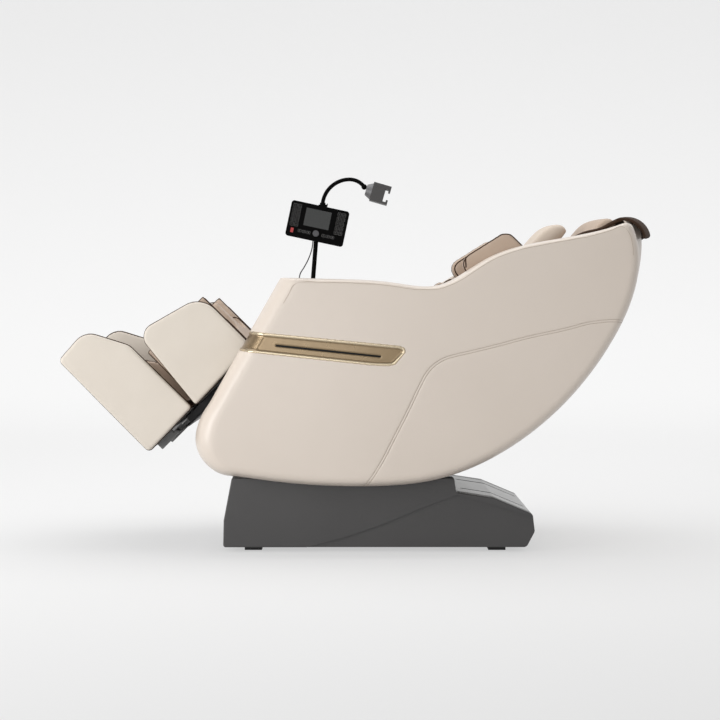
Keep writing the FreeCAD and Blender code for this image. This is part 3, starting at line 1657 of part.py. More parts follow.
def base_parts():
    base_frame()
    pivot_pins()
    for name, side in SIDES:
        base_side_cover(name, side)
    base_front_cover()
    rear_cover()
    mains_inlet()
    rubber_feet()
    control_box()
    actuator_bracket()


def body_parts():
    shells_and_trims()
    seat_frame()
    seat_pan()
    soft_parts()
    for name, side in SIDES:
        shoulder_wing(name, side)
        arm_pad(name, side)
    back_shell()
    hood_lip()
    head_pillow()


def leg_parts():
    for name, side in SIDES:
        calf_panel(name, side)
        foot_panel(name, side)
    calf_pad()
    foot_pad()
    legrest_frame()
    legrest_back_cover()
    footrest_frame()
    sole_plate()
    for name, side in SIDES:
        foot_rollers(name, side)


def mechanism_parts():
    guide_rails()
    massage_carriage()
    kneading_unit()
    actuator_tube()
    actuator_rod()


def control_parts():
    tablet_pole()
    swivel_bracket()
    tablet_hinge()
    tablet()
    keys()
    neck_clip()
    gooseneck()
    phone_clamp()
    clamp_jaw()
    tablet_lead()


def check_and_export():
    """Stops on any failed object, then writes one STEP file for each sub-part."""
    doc.recompute()
    for thing in doc.Objects:
        if "Invalid" in thing.State or "Error" in thing.State:
            owner = thing.getParentGeoFeatureGroup() or thing
            raise RuntimeError(f"{thing.Name} of {owner.Label} failed: {thing.State}")
    os.makedirs("parts", exist_ok=True)
    for part in PARTS:
        shape = part.Shape
        if shape.isNull() or not shape.isValid() or shape.Volume <= 0:
            raise RuntimeError(f"{part.Label} has no valid shape")
        shape.exportStep(f"parts/{part.Label}.step")
        print(f"{part.Label}: {len(shape.Solids)} solid, {shape.Volume / 1000:.1f} cm3")


base_parts()
body_parts()
leg_parts()
mechanism_parts()
control_parts()
check_and_export()
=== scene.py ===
"""Reclining massage chair: the finish of every surface, over the fixed construction.

The chair faces -X, the sitter's left is -Y, and the floor is z = 0. Lengths are metres.
"""
import math

import bmesh
import bpy
from mathutils import Matrix, Vector
from mathutils.bvhtree import BVHTree
from mathutils.kdtree import KDTree


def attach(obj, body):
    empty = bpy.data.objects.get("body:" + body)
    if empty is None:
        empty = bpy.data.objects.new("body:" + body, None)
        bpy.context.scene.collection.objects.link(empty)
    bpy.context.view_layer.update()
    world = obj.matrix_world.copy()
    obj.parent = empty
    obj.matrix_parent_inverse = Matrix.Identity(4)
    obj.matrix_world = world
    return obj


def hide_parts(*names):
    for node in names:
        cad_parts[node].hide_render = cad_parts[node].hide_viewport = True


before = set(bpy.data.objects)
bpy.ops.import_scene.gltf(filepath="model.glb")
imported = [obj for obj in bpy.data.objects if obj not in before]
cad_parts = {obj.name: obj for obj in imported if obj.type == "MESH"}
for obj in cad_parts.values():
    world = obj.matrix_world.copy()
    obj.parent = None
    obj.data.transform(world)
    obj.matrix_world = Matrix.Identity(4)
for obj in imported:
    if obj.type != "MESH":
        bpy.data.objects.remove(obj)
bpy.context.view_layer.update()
SIDES = (("left", -1), ("right", 1))
FAR = 1.0

# Studio: a pale paper floor that curves up into a pale wall, a broad soft lamp above the
# chair, one before its feet and one beside the camera, and the camera itself, level
# with the armrests and tipped a little down.
CAMERA_PLACE = (-0.005, -4.705, 0.776)
CAMERA_DIP = 2.112
CAMERA_LENS = 70.5
CAMERA_SENSOR = 36
FLOOR_LENGTH = 24
FLOOR_DEPTH = 11
FLOOR_MIDDLE = -1.5
CURVE_RADIUS = 3.0
CURVE_STEPS = 12
WALL_HEIGHT = 8
PAPER_TONE = (0.7, 0.7, 0.7)
GLOW_SHARE = 0.5
GLOW_NEAR, GLOW_AWAY = (-2.5, 0.86), (5.0, 1.42)
GLOW_LOW, GLOW_HIGH = (0.5, 1.0), (4.0, 0.85)
SKY_STRENGTH = 0.55
LAMPS = (
    ("overhead_lamp", (0, 0.3, 3.6), (0, 0, 0), (4.5, 3.0), 80),
    ("feet_lamp", (-3.6, -2.0, 1.1), (-0.2, 0, 0.5), (2.0, 2.0), 74),
    ("front_lamp", (-1.4, -5.0, 0.9), (0, 0, 0.5), (3.0, 1.6), 42),
)


def deselect():
    """Leaves edit mode, with nothing selected."""
    if bpy.context.object and bpy.context.object.mode != "OBJECT":
        bpy.ops.object.mode_set(mode="OBJECT")
    bpy.ops.object.select_all(action="DESELECT")


def take(piece):
    """Makes a piece the only one selected, and the active one."""
    deselect()
    piece.select_set(True)
    bpy.context.view_layer.objects.active = piece
    return piece


def new_finish(name, colour, roughness, metallic=0.0, specular=0.5, coat=0.0,
               coat_roughness=0.03):
    """A material with those values on its shader's own sockets."""
    finish = bpy.data.materials.new(name)
    finish.use_nodes = True
    sockets = finish.node_tree.nodes["Principled BSDF"].inputs
    sockets["Base Color"].default_value = (*colour, 1)
    sockets["Roughness"].default_value = roughness
    sockets["Metallic"].default_value = metallic
    sockets["Specular IOR Level"].default_value = specular
    sockets["Coat Weight"].default_value = coat
    sockets["Coat Roughness"].default_value = coat_roughness
    return finish


def ramp(nodes, start, end):
    """A node that leads from one (value, result) pair to another in a straight line."""
    node = nodes.new("ShaderNodeMapRange")
    node.inputs["From Min"].default_value, node.inputs["To Min"].default_value = start
    node.inputs["From Max"].default_value, node.inputs["To Max"].default_value = end
    return node


def joined(nodes, operation):
    """A node that works out one value from two."""
    node = nodes.new("ShaderNodeMath")
    node.operation = operation
    return node


def soft_lamp(name, place, aim, size, power):
    """A square soft box that lights towards a point."""
    lamp = bpy.data.objects.new(name, bpy.data.lights.new(name, "AREA"))
    bpy.context.collection.objects.link(lamp)
    lamp.data.shape = "RECTANGLE"
    lamp.data.size, lamp.data.size_y = size
    lamp.data.energy = power
    lamp.location = place
    lamp.rotation_euler = (Vector(aim) - Vector(place)).to_track_quat("-Z", "Y").to_euler()


camera = bpy.data.objects.new("camera", bpy.data.cameras.new("camera"))
bpy.context.collection.objects.link(camera)
camera.location = CAMERA_PLACE
camera.rotation_euler = (math.radians(90 - CAMERA_DIP), 0, 0)
camera.data.lens = CAMERA_LENS
camera.data.sensor_width = CAMERA_SENSOR
bpy.context.scene.camera = camera
bpy.context.scene.view_settings.view_transform = "Standard"

deselect()
bpy.ops.mesh.primitive_plane_add(size=1, location=(0, FLOOR_MIDDLE, 0))
floor = bpy.context.object
floor.name = "floor"
floor.scale = (FLOOR_LENGTH, FLOOR_DEPTH, 1)
bpy.ops.object.transform_apply(location=True, scale=True)
bpy.ops.object.mode_set(mode="EDIT")
bpy.ops.mesh.select_mode(type="EDGE")
bpy.ops.mesh.select_all(action="DESELECT")
bpy.ops.object.mode_set(mode="OBJECT")
floor_back = FLOOR_MIDDLE + FLOOR_DEPTH / 2 - 0.1
for edge in floor.data.edges:
    edge.select = all(floor.data.vertices[v].co.y > floor_back for v in edge.vertices)
bpy.ops.object.mode_set(mode="EDIT")
reach = CURVE_RADIUS * math.radians(90) / CURVE_STEPS
for step in range(CURVE_STEPS):
    turn = math.radians(90) * (step + 0.5) / CURVE_STEPS
    run = (0, reach * math.cos(turn), reach * math.sin(turn))
    bpy.ops.mesh.extrude_region_move(TRANSFORM_OT_translate={"value": run})
bpy.ops.mesh.extrude_region_move(TRANSFORM_OT_translate={"value": (0, 0, WALL_HEIGHT)})
bpy.ops.object.mode_set(mode="OBJECT")
bpy.ops.object.shade_smooth()

paper = new_finish("backdrop_paper", PAPER_TONE, 0.9, specular=0.0)
nodes, links = paper.node_tree.nodes, paper.node_tree.links
place = nodes.new("ShaderNodeTexCoord")
parts = nodes.new("ShaderNodeSeparateXYZ")
depth_glow = ramp(nodes, GLOW_NEAR, GLOW_AWAY)
height_glow = ramp(nodes, GLOW_LOW, GLOW_HIGH)
level = joined(nodes, "MULTIPLY")
backlight = nodes.new("ShaderNodeEmission")
rays = nodes.new("ShaderNodeLightPath")
seen = joined(nodes, "MAXIMUM")
share = joined(nodes, "MULTIPLY")
share.inputs[1].default_value = GLOW_SHARE
blend = nodes.new("ShaderNodeMixShader")
links.new(place.outputs["Object"], parts.inputs["Vector"])
links.new(parts.outputs["Y"], depth_glow.inputs["Value"])
links.new(parts.outputs["Z"], height_glow.inputs["Value"])
links.new(depth_glow.outputs["Result"], level.inputs[0])
links.new(height_glow.outputs["Result"], level.inputs[1])
links.new(level.outputs["Value"], backlight.inputs["Strength"])
links.new(rays.outputs["Is Camera Ray"], seen.inputs[0])
links.new(rays.outputs["Is Glossy Ray"], seen.inputs[1])
links.new(seen.outputs["Value"], share.inputs[0])
links.new(share.outputs["Value"], blend.inputs["Fac"])
links.new(nodes["Principled BSDF"].outputs["BSDF"], blend.inputs[1])
links.new(backlight.outputs["Emission"], blend.inputs[2])
links.new(blend.outputs["Shader"], nodes["Material Output"].inputs["Surface"])
floor.data.materials.append(paper)

sky = bpy.data.worlds.new("studio")
bpy.context.scene.world = sky
sky.use_nodes = True
sky.node_tree.nodes["Background"].inputs["Color"].default_value = (1, 1, 1, 1)
sky.node_tree.nodes["Background"].inputs["Strength"].default_value = SKY_STRENGTH
for lamp in LAMPS:
    soft_lamp(*lamp)

# Tablet lead: a thin black cable that drops from the tablet's bracket and runs down
# beside the pole into a gland in the right armrest. It is held at both ends.
LEAD_POINTS = (
    (-0.172, 0.331, 1.0355),
    (-0.172, 0.331, 1.003),
    (-0.183, 0.332, 0.962),
    (-0.203, 0.334, 0.922),
    (-0.222, 0.335, 0.896),
    (-0.222, 0.335, 0.874),
)
LEAD_WIDTH = 0.004


def grain(finish, size, height):
    """Fine leather or moulded grain: small cells raised by a bump of that height."""
    nodes, links = finish.node_tree.nodes, finish.node_tree.links
    place = nodes.new("ShaderNodeTexCoord")
    cells = nodes.new("ShaderNodeTexVoronoi")
    cells.inputs["Scale"].default_value = 1 / size
    bump = nodes.new("ShaderNodeBump")
    bump.inputs["Distance"].default_value = height
    bump.inputs["Strength"].default_value = 0.6
    links.new(place.outputs["Object"], cells.inputs["Vector"])
    links.new(cells.outputs["Distance"], bump.inputs["Height"])
    links.new(bump.outputs["Normal"], nodes["Principled BSDF"].inputs["Normal"])


def clouding(finish, colour, other, size):
    """Soft, uneven colour: one tone drifts into the other over that length."""
    nodes, links = finish.node_tree.nodes, finish.node_tree.links
    place = nodes.new("ShaderNodeTexCoord")
    drift = nodes.new("ShaderNodeTexNoise")
    drift.inputs["Scale"].default_value = 1 / size
    drift.inputs["Detail"].default_value = 4
    tone = ramp(nodes, (0.3, 0.0), (0.7, 1.0))
    mixed = nodes.new("ShaderNodeMix")
    mixed.data_type = "RGBA"
    mixed.inputs["A"].default_value = (*colour, 1)
    mixed.inputs["B"].default_value = (*other, 1)
    links.new(place.outputs["Object"], drift.inputs["Vector"])
    links.new(drift.outputs["Fac"], tone.inputs["Value"])
    links.new(tone.outputs["Result"], mixed.inputs["Factor"])
    links.new(mixed.outputs["Result"], nodes["Principled BSDF"].inputs["Base Color"])


def polish_marks(finish, size, low, high):
    """Roughness that wanders a little, as on a handled or moulded surface."""
    nodes, links = finish.node_tree.nodes, finish.node_tree.links
    place = nodes.new("ShaderNodeTexCoord")
    marks = nodes.new("ShaderNodeTexNoise")
    marks.inputs["Scale"].default_value = 1 / size
    marks.inputs["Detail"].default_value = 3
    span = ramp(nodes, (0.0, low), (1.0, high))
    links.new(place.outputs["Object"], marks.inputs["Vector"])
    links.new(marks.outputs["Fac"], span.inputs["Value"])
    links.new(span.outputs["Result"], nodes["Principled BSDF"].inputs["Roughness"])


def wear(finish, *node_names):
    """Gives carried-over parts their finish."""
    for name in node_names:
        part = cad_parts[name]
        part.data.materials.clear()
        part.data.materials.append(finish)


lead_rubber = new_finish("lead_rubber", (0.012, 0.012, 0.013), 0.45)
polish_marks(lead_rubber, 0.02, 0.4, 0.55)
lead_curve = bpy.data.curves.new("tablet_cable", "CURVE")
lead_curve.dimensions = "3D"
lead_curve.bevel_depth = LEAD_WIDTH / 2
lead_curve.bevel_resolution = 3
lead_run = lead_curve.splines.new("NURBS")
lead_run.points.add(len(LEAD_POINTS) - 1)
for knot, point in zip(lead_run.points, LEAD_POINTS):
    knot.co = (*point, 1)
lead_run.use_endpoint_u = True
lead_run.order_u = 3
cable = bpy.data.objects.new("tablet_cable", lead_curve)
bpy.context.collection.objects.link(cable)
cable.data.materials.append(lead_rubber)
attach(cable, "body")
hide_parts("tablet_lead")
wear(lead_rubber, "lead_gland")

# Base: a steel tray with tubes and pivot posts, shut in by dark grey moulded covers
# with a fine spark-eroded grain. The sloping deck over its tail is a lighter gloss
# moulding with two slots, and the whole stands on four rubber feet.
base_plastic = new_finish("base_plastic", (0.052, 0.05, 0.05), 0.42)
clouding(base_plastic, (0.049, 0.047, 0.047), (0.055, 0.053, 0.053), 0.3)
grain(base_plastic, 0.0012, 0.00012)
deck_gloss = new_finish("deck_gloss", (0.2, 0.2, 0.2), 0.32, coat=0.25)
clouding(deck_gloss, (0.18, 0.18, 0.18), (0.22, 0.22, 0.22), 0.4)
polish_marks(deck_gloss, 0.05, 0.28, 0.36)
painted_steel = new_finish("painted_steel", (0.03, 0.03, 0.032), 0.5)
polish_marks(painted_steel, 0.04, 0.42, 0.6)
grain(painted_steel, 0.0009, 0.00005)
bright_steel = new_finish("bright_steel", (0.6, 0.6, 0.62), 0.3, 1.0)
polish_marks(bright_steel, 0.03, 0.22, 0.4)
foot_rubber = new_finish("foot_rubber", (0.02, 0.02, 0.02), 0.8)
grain(foot_rubber, 0.002, 0.0002)
cover_grey = new_finish("cover_grey", (0.2, 0.2, 0.2), 0.45)
polish_marks(cover_grey, 0.05, 0.4, 0.52)
seat_board = new_finish("seat_board", (0.4, 0.27, 0.15), 0.7)
clouding(seat_board, (0.42, 0.29, 0.17), (0.34, 0.22, 0.12), 0.05)
wear(base_plastic, "base_side_cover_left", "base_side_cover_right", "base_front_cover",
     "mains_inlet")
wear(deck_gloss, "rear_cover")
wear(foot_rubber, "rubber_feet")
wear(painted_steel, "base_frame", "control_box", "actuator_bracket", "seat_frame",
     "actuator_tube", "massage_carriage", "legrest_frame")
wear(bright_steel, "rocking_pins", "guide_rails", "actuator_rod")
wear(cover_grey, "footrest_frame")
wear(seat_board, "seat_pan")

# Side shells: each a deep moulded panel under soft cream leather cloth, drawn over a
# broad front edge and a long curved belly. A double-stitched seam parts the plain
# rear panel from the front one, and a thin bead runs just under the top edge.
SHELL_VOXEL = 0.0055
SHELL_EASING = 6
SHELL_DRAWN_IN = 0.0006
SHELL_FACE = 0.389
SHELL_CUTS = 3
SHELL_CREAM = (0.66, 0.585, 0.515)
SHELL_SHADE = (0.63, 0.555, 0.485)
SEAM_LINE = (
    (0.842, 0.732), (0.806, 0.7345), (0.771, 0.737), (0.7185, 0.733), (0.683, 0.727),
    (0.638, 0.7145), (0.5075, 0.6855), (0.420, 0.6625), (0.332, 0.641), (0.285, 0.630),
    (0.258, 0.622), (0.234, 0.609), (0.215, 0.594), (0.199, 0.574), (0.184, 0.547),
    (0.145, 0.465), (0.1015, 0.379), (0.055, 0.290), (0.004, 0.213),
)
SEAM_STEP = 0.001
SEAM_REFINED = 0.013
SEAM_HALF = 0.0036
SEAM_INNERMOST = 0.33
TROUGH_DEPTH, TROUGH_WIDTH = 0.0015, 0.0011
PUCKER_DEPTH, PUCKER_WIDTH = 0.0007, 0.008
STITCH_PITCH = 0.006
STITCH_LENGTH = 0.0042
STITCH_RADIUS = 0.00055
STITCH_LIFT = 0.0002
BAND_OUTLINE = (
    (-0.460, 0.716), (-0.290, 0.700), (0.118, 0.661), (0.133, 0.654), (0.136, 0.640),
    (0.104, 0.602), (0.084, 0.597), (0.030, 0.599), (-0.185, 0.622), (-0.460, 0.650),
)
BAND_LOW, BAND_HIGH, BAND_INNERMOST = 0.58, 0.73, 0.28
BAND_REFINED = 0.008
BAND_MARGIN = 0.0028
BAND_ROOM = 0.0115
TOP_SEAM_FRONT, TOP_SEAM_REAR = -0.31, 0.86
TOP_SEAM_LOWEST, TOP_SEAM_CLIMB, TOP_SEAM_BEND = 0.79, 0.16, 0.1
TOP_SEAM_PLANE = 0.3885
TOP_SEAM_RADIUS = 0.0007


def solid_copy(node_names, new_name):
    """Loose copies of some parts, joined in one object, with their corners merged."""
    copies = []
    for name in node_names:
        piece = bpy.data.objects.new(new_name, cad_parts[name].data.copy())
        bpy.context.collection.objects.link(piece)
        piece.data.materials.clear()
        copies.append(piece)
    piece = take(copies[0])
    for other in copies[1:]:
        other.select_set(True)
    if len(copies) > 1:
        bpy.ops.object.join()
    take(piece)
    piece.name = new_name
    bpy.ops.object.mode_set(mode="EDIT")
    bpy.ops.mesh.select_all(action="SELECT")
    bpy.ops.mesh.remove_doubles(threshold=0.00002)
    bpy.ops.object.mode_set(mode="OBJECT")
    return piece


def apply_modifier(piece, kind, **settings):
    """Adds one modifier with its settings and applies it."""
    modifier = piece.modifiers.new(kind.lower(), kind)
    for key, value in settings.items():
        setattr(modifier, key, value)
    take(piece)
    bpy.ops.object.modifier_apply(modifier=modifier.name)


def even_skin(piece, voxel, rounds):
    """Even small quads over the whole piece, eased so that its edges are soft."""
    apply_modifier(piece, "REMESH", mode="VOXEL", voxel_size=voxel)
    apply_modifier(piece, "SMOOTH", factor=0.5, iterations=rounds)
    take(piece)
    bpy.ops.object.shade_smooth()


def smooth_path(points, step):
    """Points every so often along a smooth curve through the given ones."""
    line = bpy.data.curves.new("path", "CURVE")
    line.dimensions = "3D"
    line.resolution_u = 24
    spline = line.splines.new("BEZIER")
    spline.bezier_points.add(len(points) - 1)
    for knot, point in zip(spline.bezier_points, points):
        knot.co = point
        knot.handle_left_type = "AUTO"
        knot.handle_right_type = "AUTO"
    holder = bpy.data.objects.new("path", line)
    dense = [v.co.copy() for v in bpy.data.meshes.new_from_object(holder).vertices]
    bpy.data.objects.remove(holder)
    path = [dense[0]]
    left = step
    for a, b in zip(dense, dense[1:]):
        run = (b - a).length
        gone = 0.0
        while run - gone >= left:
            gone += left
            path.append(a.lerp(b, gone / run))
            left = step
        left -= run - gone
    return path


def refine_near(piece, distance, reach, cuts):
    """Divides the faces whose middle lies within reach, as distance measures it."""
    take(piece)
    bpy.ops.object.mode_set(mode="EDIT")
    bpy.ops.mesh.select_mode(type="FACE")
    bpy.ops.mesh.select_all(action="DESELECT")
    bpy.ops.object.mode_set(mode="OBJECT")
    borders = set()
    for face in piece.data.polygons:
        if distance(face.center) < reach:
            face.select = True
            borders.update(face.edge_keys)
    for edge in piece.data.edges:
        edge.select = edge.key in borders
        if edge.select:
            for vertex in edge.vertices:
                piece.data.vertices[vertex].select = True
    bpy.ops.object.mode_set(mode="EDIT")
    bpy.ops.mesh.subdivide(number_cuts=cuts, smoothness=0)
    bpy.ops.object.mode_set(mode="OBJECT")


def press_in(piece, depth_at):
    """Moves every point of a piece's skin inward by the depth given for its place."""
    skin = [(v.co.copy(), v.normal.copy()) for v in piece.data.vertices]
    for vertex, (place, normal) in zip(piece.data.vertices, skin):
        vertex.co = place - normal * depth_at(place, normal)
    piece.data.update()


def skin_of(piece):
    """A search tree over a piece's faces, to find its surface along a line."""
    points = [v.co.copy() for v in piece.data.vertices]
    return BVHTree.FromPolygons(points, [tuple(p.vertices) for p in piece.data.polygons])


def dressed(piece, node_name, finish, body="body"):
    """Hands over a finished piece in place of its plain form."""
    piece.data.materials.append(finish)
    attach(piece, body)
    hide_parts(node_name)
    return piece


def bead(name, points, radius, finish, body, closed=False):
    """A round cord of leather or thread swept along points, as a mesh."""
    line = bpy.data.curves.new(name, "CURVE")
    line.dimensions = "3D"
    line.bevel_depth = radius
    line.bevel_resolution = 2
    line.use_fill_caps = not closed
    spline = line.splines.new("POLY")
    spline.points.add(len(points) - 1)
    for knot, point in zip(spline.points, points):
        knot.co = (*point, 1)
    spline.use_cyclic_u = closed
    piece = bpy.data.objects.new(name, line)
    bpy.context.collection.objects.link(piece)
    take(piece)
    bpy.ops.object.convert(target="MESH")
    piece = bpy.context.object
    bpy.ops.object.shade_smooth()
    piece.data.materials.clear()
    piece.data.materials.append(finish)
    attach(piece, body)
    return piece


def outline_at(piece, y):
    """The points of a piece's skin in the upright plane at y, in order round it."""
    cut = bmesh.new()
    cut.from_mesh(piece.data)
    everything = cut.verts[:] + cut.edges[:] + cut.faces[:]
    found = bmesh.ops.bisect_plane(cut, geom=everything, plane_co=(0, y, 0),
                                   plane_no=(0, 1, 0))
    edges = dict.fromkeys(e for e in found["geom_cut"] if isinstance(e, bmesh.types.BMEdge))
    loops = []
    while edges:
        edge = edges.popitem()[0]
        chain = [edge.verts[0], edge.verts[1]]
        grown = True
        while grown:
            grown = False
            for step in chain[-1].link_edges:
                if step in edges:
                    del edges[step]
                    chain.append(step.other_vert(chain[-1]))
                    grown = True
                    break
        loops.append([v.co.copy() for v in chain])
    cut.free()
    return max(loops, key=lambda loop: sum((a - b).length for a, b in zip(loop, loop[1:])))


def stitch_row(name, path, up, finish, body):
    """Sewn stitches as small slender beads laid one by one along a path."""
    deselect()
    bpy.ops.mesh.primitive_uv_sphere_add(segments=6, ring_count=4, radius=1,
                                         location=(0, 0, 0))
    pattern = bpy.context.object
    shape = [Vector(v.co) for v in pattern.data.vertices]
    sides = [tuple(p.vertices) for p in pattern.data.polygons]
    bpy.data.objects.remove(pattern)
    points, faces = [], []
    step = max(1, round(STITCH_PITCH / (path[1] - path[0]).length))
    for i in range(step, len(path) - step, step):
        along = (path[i + 1] - path[i - 1]).normalized()
        across = along.cross(up).normalized()
        start = len(points)
        for v in shape:
            points.append(path[i] + along * (v.z * STITCH_LENGTH / 2)
                          + across * (v.x * STITCH_RADIUS) + up * (v.y * STITCH_RADIUS))
        faces += [tuple(start + k for k in side) for side in sides]
    mesh = bpy.data.meshes.new(name)
    mesh.from_pydata(points, [], faces)
    mesh.update()
    piece = bpy.data.objects.new(name, mesh)
    bpy.context.collection.objects.link(piece)
    take(piece)
    bpy.ops.object.mode_set(mode="EDIT")
    bpy.ops.mesh.select_all(action="SELECT")
    bpy.ops.mesh.normals_make_consistent(inside=False)
    bpy.ops.object.mode_set(mode="OBJECT")
    bpy.ops.object.shade_smooth()
    piece.data.materials.append(finish)
    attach(piece, body)


def depth_inside(x, z, outline):
    """Distance inside an outline in the side view, less than zero outside it."""
    closest = 1e9
    inside = False
    for (ax, az), (bx, bz) in zip(outline, outline[1:] + outline[:1]):
        run = Vector((bx - ax, bz - az))
        spot = Vector((x - ax, z - az))
        along = min(1.0, max(0.0, spot.dot(run) / run.length_squared))
        closest = min(closest, (spot - run * along).length)
        if (az > z) != (bz > z) and x < (bx - ax) * (z - az) / (bz - az) + ax:
            inside = not inside
    return closest if inside else -closest


def band_edge_distance(place):
    """Distance from the edge of the trim band's recess."""
    if abs(place.y) < BAND_INNERMOST or place.z < BAND_LOW or place.z > BAND_HIGH:
        return FAR
    return abs(depth_inside(place.x, place.z, BAND_OUTLINE))


def drawn_in(place, normal):
    """How far the leather is drawn in: a little, and well clear behind the band."""
    outward = math.copysign(1, place.y) * normal.y
    behind_band = depth_inside(place.x, place.z, BAND_OUTLINE) > BAND_MARGIN
    return BAND_ROOM if behind_band and outward > -0.3 else SHELL_DRAWN_IN


seam = smooth_path([Vector((x, 0, z)) for x, z in SEAM_LINE], SEAM_STEP)
seam_tree = KDTree(len(seam))
for i, point in enumerate(seam):
    seam_tree.insert(point, i)
seam_tree.balance()


def seam_distance(place):
    """Distance from the middle of the double seam, in the side view."""
    if abs(place.y) < SEAM_INNERMOST:
        return FAR
    return seam_tree.find(Vector((place.x, 0, place.z)))[2]


def seam_depth(place, normal):
    """How deep the double seam is pressed in: two troughs in a broad shallow pucker."""
    away = seam_distance(place)
    trough = TROUGH_DEPTH * math.exp(-(((away - SEAM_HALF) / TROUGH_WIDTH) ** 2))
    pucker = PUCKER_DEPTH * math.exp(-((away / PUCKER_WIDTH) ** 2))
    return trough + pucker


shell_leather = new_finish("shell_leather", SHELL_CREAM, 0.36, coat=0.15,
                           coat_roughness=0.3)
clouding(shell_leather, SHELL_CREAM, SHELL_SHADE, 0.5)
grain(shell_leather, 0.0011, 0.00007)
seam_thread = new_finish("seam_thread", (0.42, 0.35, 0.28), 0.6)
grain(seam_thread, 0.0006, 0.0001)
for side_name, side in SIDES:
    shell = solid_copy(
        [f"side_shell_{side_name}", f"gold_trim_{side_name}", f"trim_line_{side_name}"],
        f"shell_leather_{side_name}",
    )
    even_skin(shell, SHELL_VOXEL, SHELL_EASING)
    refine_near(shell, band_edge_distance, BAND_REFINED, SHELL_CUTS)
    press_in(shell, drawn_in)
    refine_near(shell, seam_distance, SEAM_REFINED, SHELL_CUTS)
    press_in(shell, seam_depth)
    take(shell)
    bpy.ops.object.shade_smooth()
    dressed(shell, f"side_shell_{side_name}", shell_leather)
    edge = [
        p for p in outline_at(shell, side * TOP_SEAM_PLANE)
        if TOP_SEAM_FRONT < p.x < TOP_SEAM_REAR
        and p.z > TOP_SEAM_LOWEST + TOP_SEAM_CLIMB * max(0.0, p.x - TOP_SEAM_BEND)
    ]
    edge.sort(key=lambda p: p.x)
    edge = smooth_path(edge[::8], 0.002)
    bead(f"top_seam_{side_name}", edge, TOP_SEAM_RADIUS, seam_thread, "body")
    skin = skin_of(shell)
    for row, sign in (("fore", -1), ("aft", 1)):
        path = []
        for i in range(1, len(seam) - 1):
            along = (seam[i + 1] - seam[i - 1]).normalized()
            start = seam[i] + Vector((-along.z, 0, along.x)) * (SEAM_HALF * sign)
            start.y = side * (SHELL_FACE + 0.1)
            spot, normal, _, _ = skin.ray_cast(start, Vector((0, -side, 0)), 0.3)
            if spot:
                path.append(spot + normal * STITCH_LIFT)
        stitch_row(f"seam_{row}_{side_name}", path, Vector((0, side, 0)), seam_thread,
                   "body")

# Trim bands: satin champagne mouldings let into both shells and wrapped round their
# front edge, with a sunk satin face and one straight black line. The rim round each
# face is a lighter metal, a painted highlight where the bevels catch the light.
BAND_VOXEL = 0.0022
BAND_EASING = 3
BAND_RIM = 0.009
champagne = new_finish("champagne", (0.22, 0.155, 0.085), 0.38, 0.7, coat=0.3,
                       coat_roughness=0.15)
clouding(champagne, (0.21, 0.15, 0.08), (0.24, 0.17, 0.095), 0.2)
polish_marks(champagne, 0.02, 0.24, 0.34)
# A lighter champagne for the band's rim: a painted highlight for its lit bevels.
rim_painted_highlight = new_finish("rim_painted_highlight", (0.52, 0.43, 0.3), 0.3, 0.7, coat=0.3)
polish_marks(rim_painted_highlight, 0.02, 0.2, 0.3)
black_gloss = new_finish("black_gloss", (0.006, 0.006, 0.006), 0.3, specular=0.1)
polish_marks(black_gloss, 0.05, 0.25, 0.35)
for side_name, side in SIDES:
    band = solid_copy([f"gold_trim_{side_name}"], f"champagne_band_{side_name}")
    even_skin(band, BAND_VOXEL, BAND_EASING)
    dressed(band, f"gold_trim_{side_name}", champagne)
    band.data.materials.append(rim_painted_highlight)
    # Faces near the band's outline take the lighter metal, as a painted highlight.
    for face in band.data.polygons:
        if depth_inside(face.center.x, face.center.z, BAND_OUTLINE) < BAND_RIM:
            face.material_index = 1
    wear(black_gloss, f"trim_line_{side_name}")

# Seat, back and head cushions: moulded foam under soft tan leather, sewn in panels.
# They lie between the shells' padded sides, over the board and the steel frame.
TAN = (0.47, 0.365, 0.285)
TAN_SHADE = (0.42, 0.32, 0.245)
BROWN = (0.055, 0.03, 0.018)
BROWN_SHADE = (0.045, 0.024, 0.014)
CREAM = (0.66, 0.6, 0.525)
CREAM_SHADE = (0.63, 0.57, 0.495)
PILLOW_CREAM = (0.62, 0.53, 0.44)
PILLOW_SHADE = (0.57, 0.48, 0.4)
CUSHION_VOXEL = 0.009
CUSHION_SWELL = 0.008
FILL_PRESSURE = 4.0
FILL_FRAMES = 20
PAD_VOXEL = 0.005
HEAD_VOXEL = 0.006
HEAD_SUNK = 0.009
SOFT_EDGE = 14
FIRM_EDGE = 8
PAD_WELTS = (0.2285, 0.2875)
PAD_WELT_RADIUS = 0.0024
WING_PANEL_LINE = (
    (0.40, 0.992), (0.388, 0.981), (0.345, 0.960), (0.328, 0.939), (0.326, 0.90),
)
WING_PANEL_PLANE = 0.36
WING_PANEL_RADIUS = 0.0022


def fill_out(piece):
    """Lets a skin swell under air pressure, by no more than a cap, as filling does."""
    apply_modifier(piece, "REMESH", mode="VOXEL", voxel_size=CUSHION_VOXEL)
    before = [v.co.copy() for v in piece.data.vertices]
    cloth = piece.modifiers.new("filling", "CLOTH")
    cloth.settings.use_pressure = True
    cloth.settings.uniform_pressure_force = FILL_PRESSURE
    cloth.settings.effector_weights.gravity = 0
    cloth.settings.quality = 4
    for tick in range(1, FILL_FRAMES + 1):
        bpy.context.scene.frame_set(tick)
    take(piece)
    bpy.ops.object.modifier_apply(modifier="filling")
    bpy.context.scene.frame_set(1)
    for vertex, start in zip(piece.data.vertices, before):
        moved = vertex.co - start
        if moved.length > CUSHION_SWELL:
            vertex.co = start + moved.normalized() * CUSHION_SWELL
    apply_modifier(piece, "SMOOTH", factor=0.5, iterations=4)
    take(piece)
    bpy.ops.object.shade_smooth()


def leather(name, colour, shade, roughness=0.48, specular=0.4):
    """Grained leather whose colour drifts a little."""
    finish = new_finish(name, colour, roughness, specular=specular)
    clouding(finish, colour, shade, 0.12)
    grain(finish, 0.0013, 0.00012)
    return finish


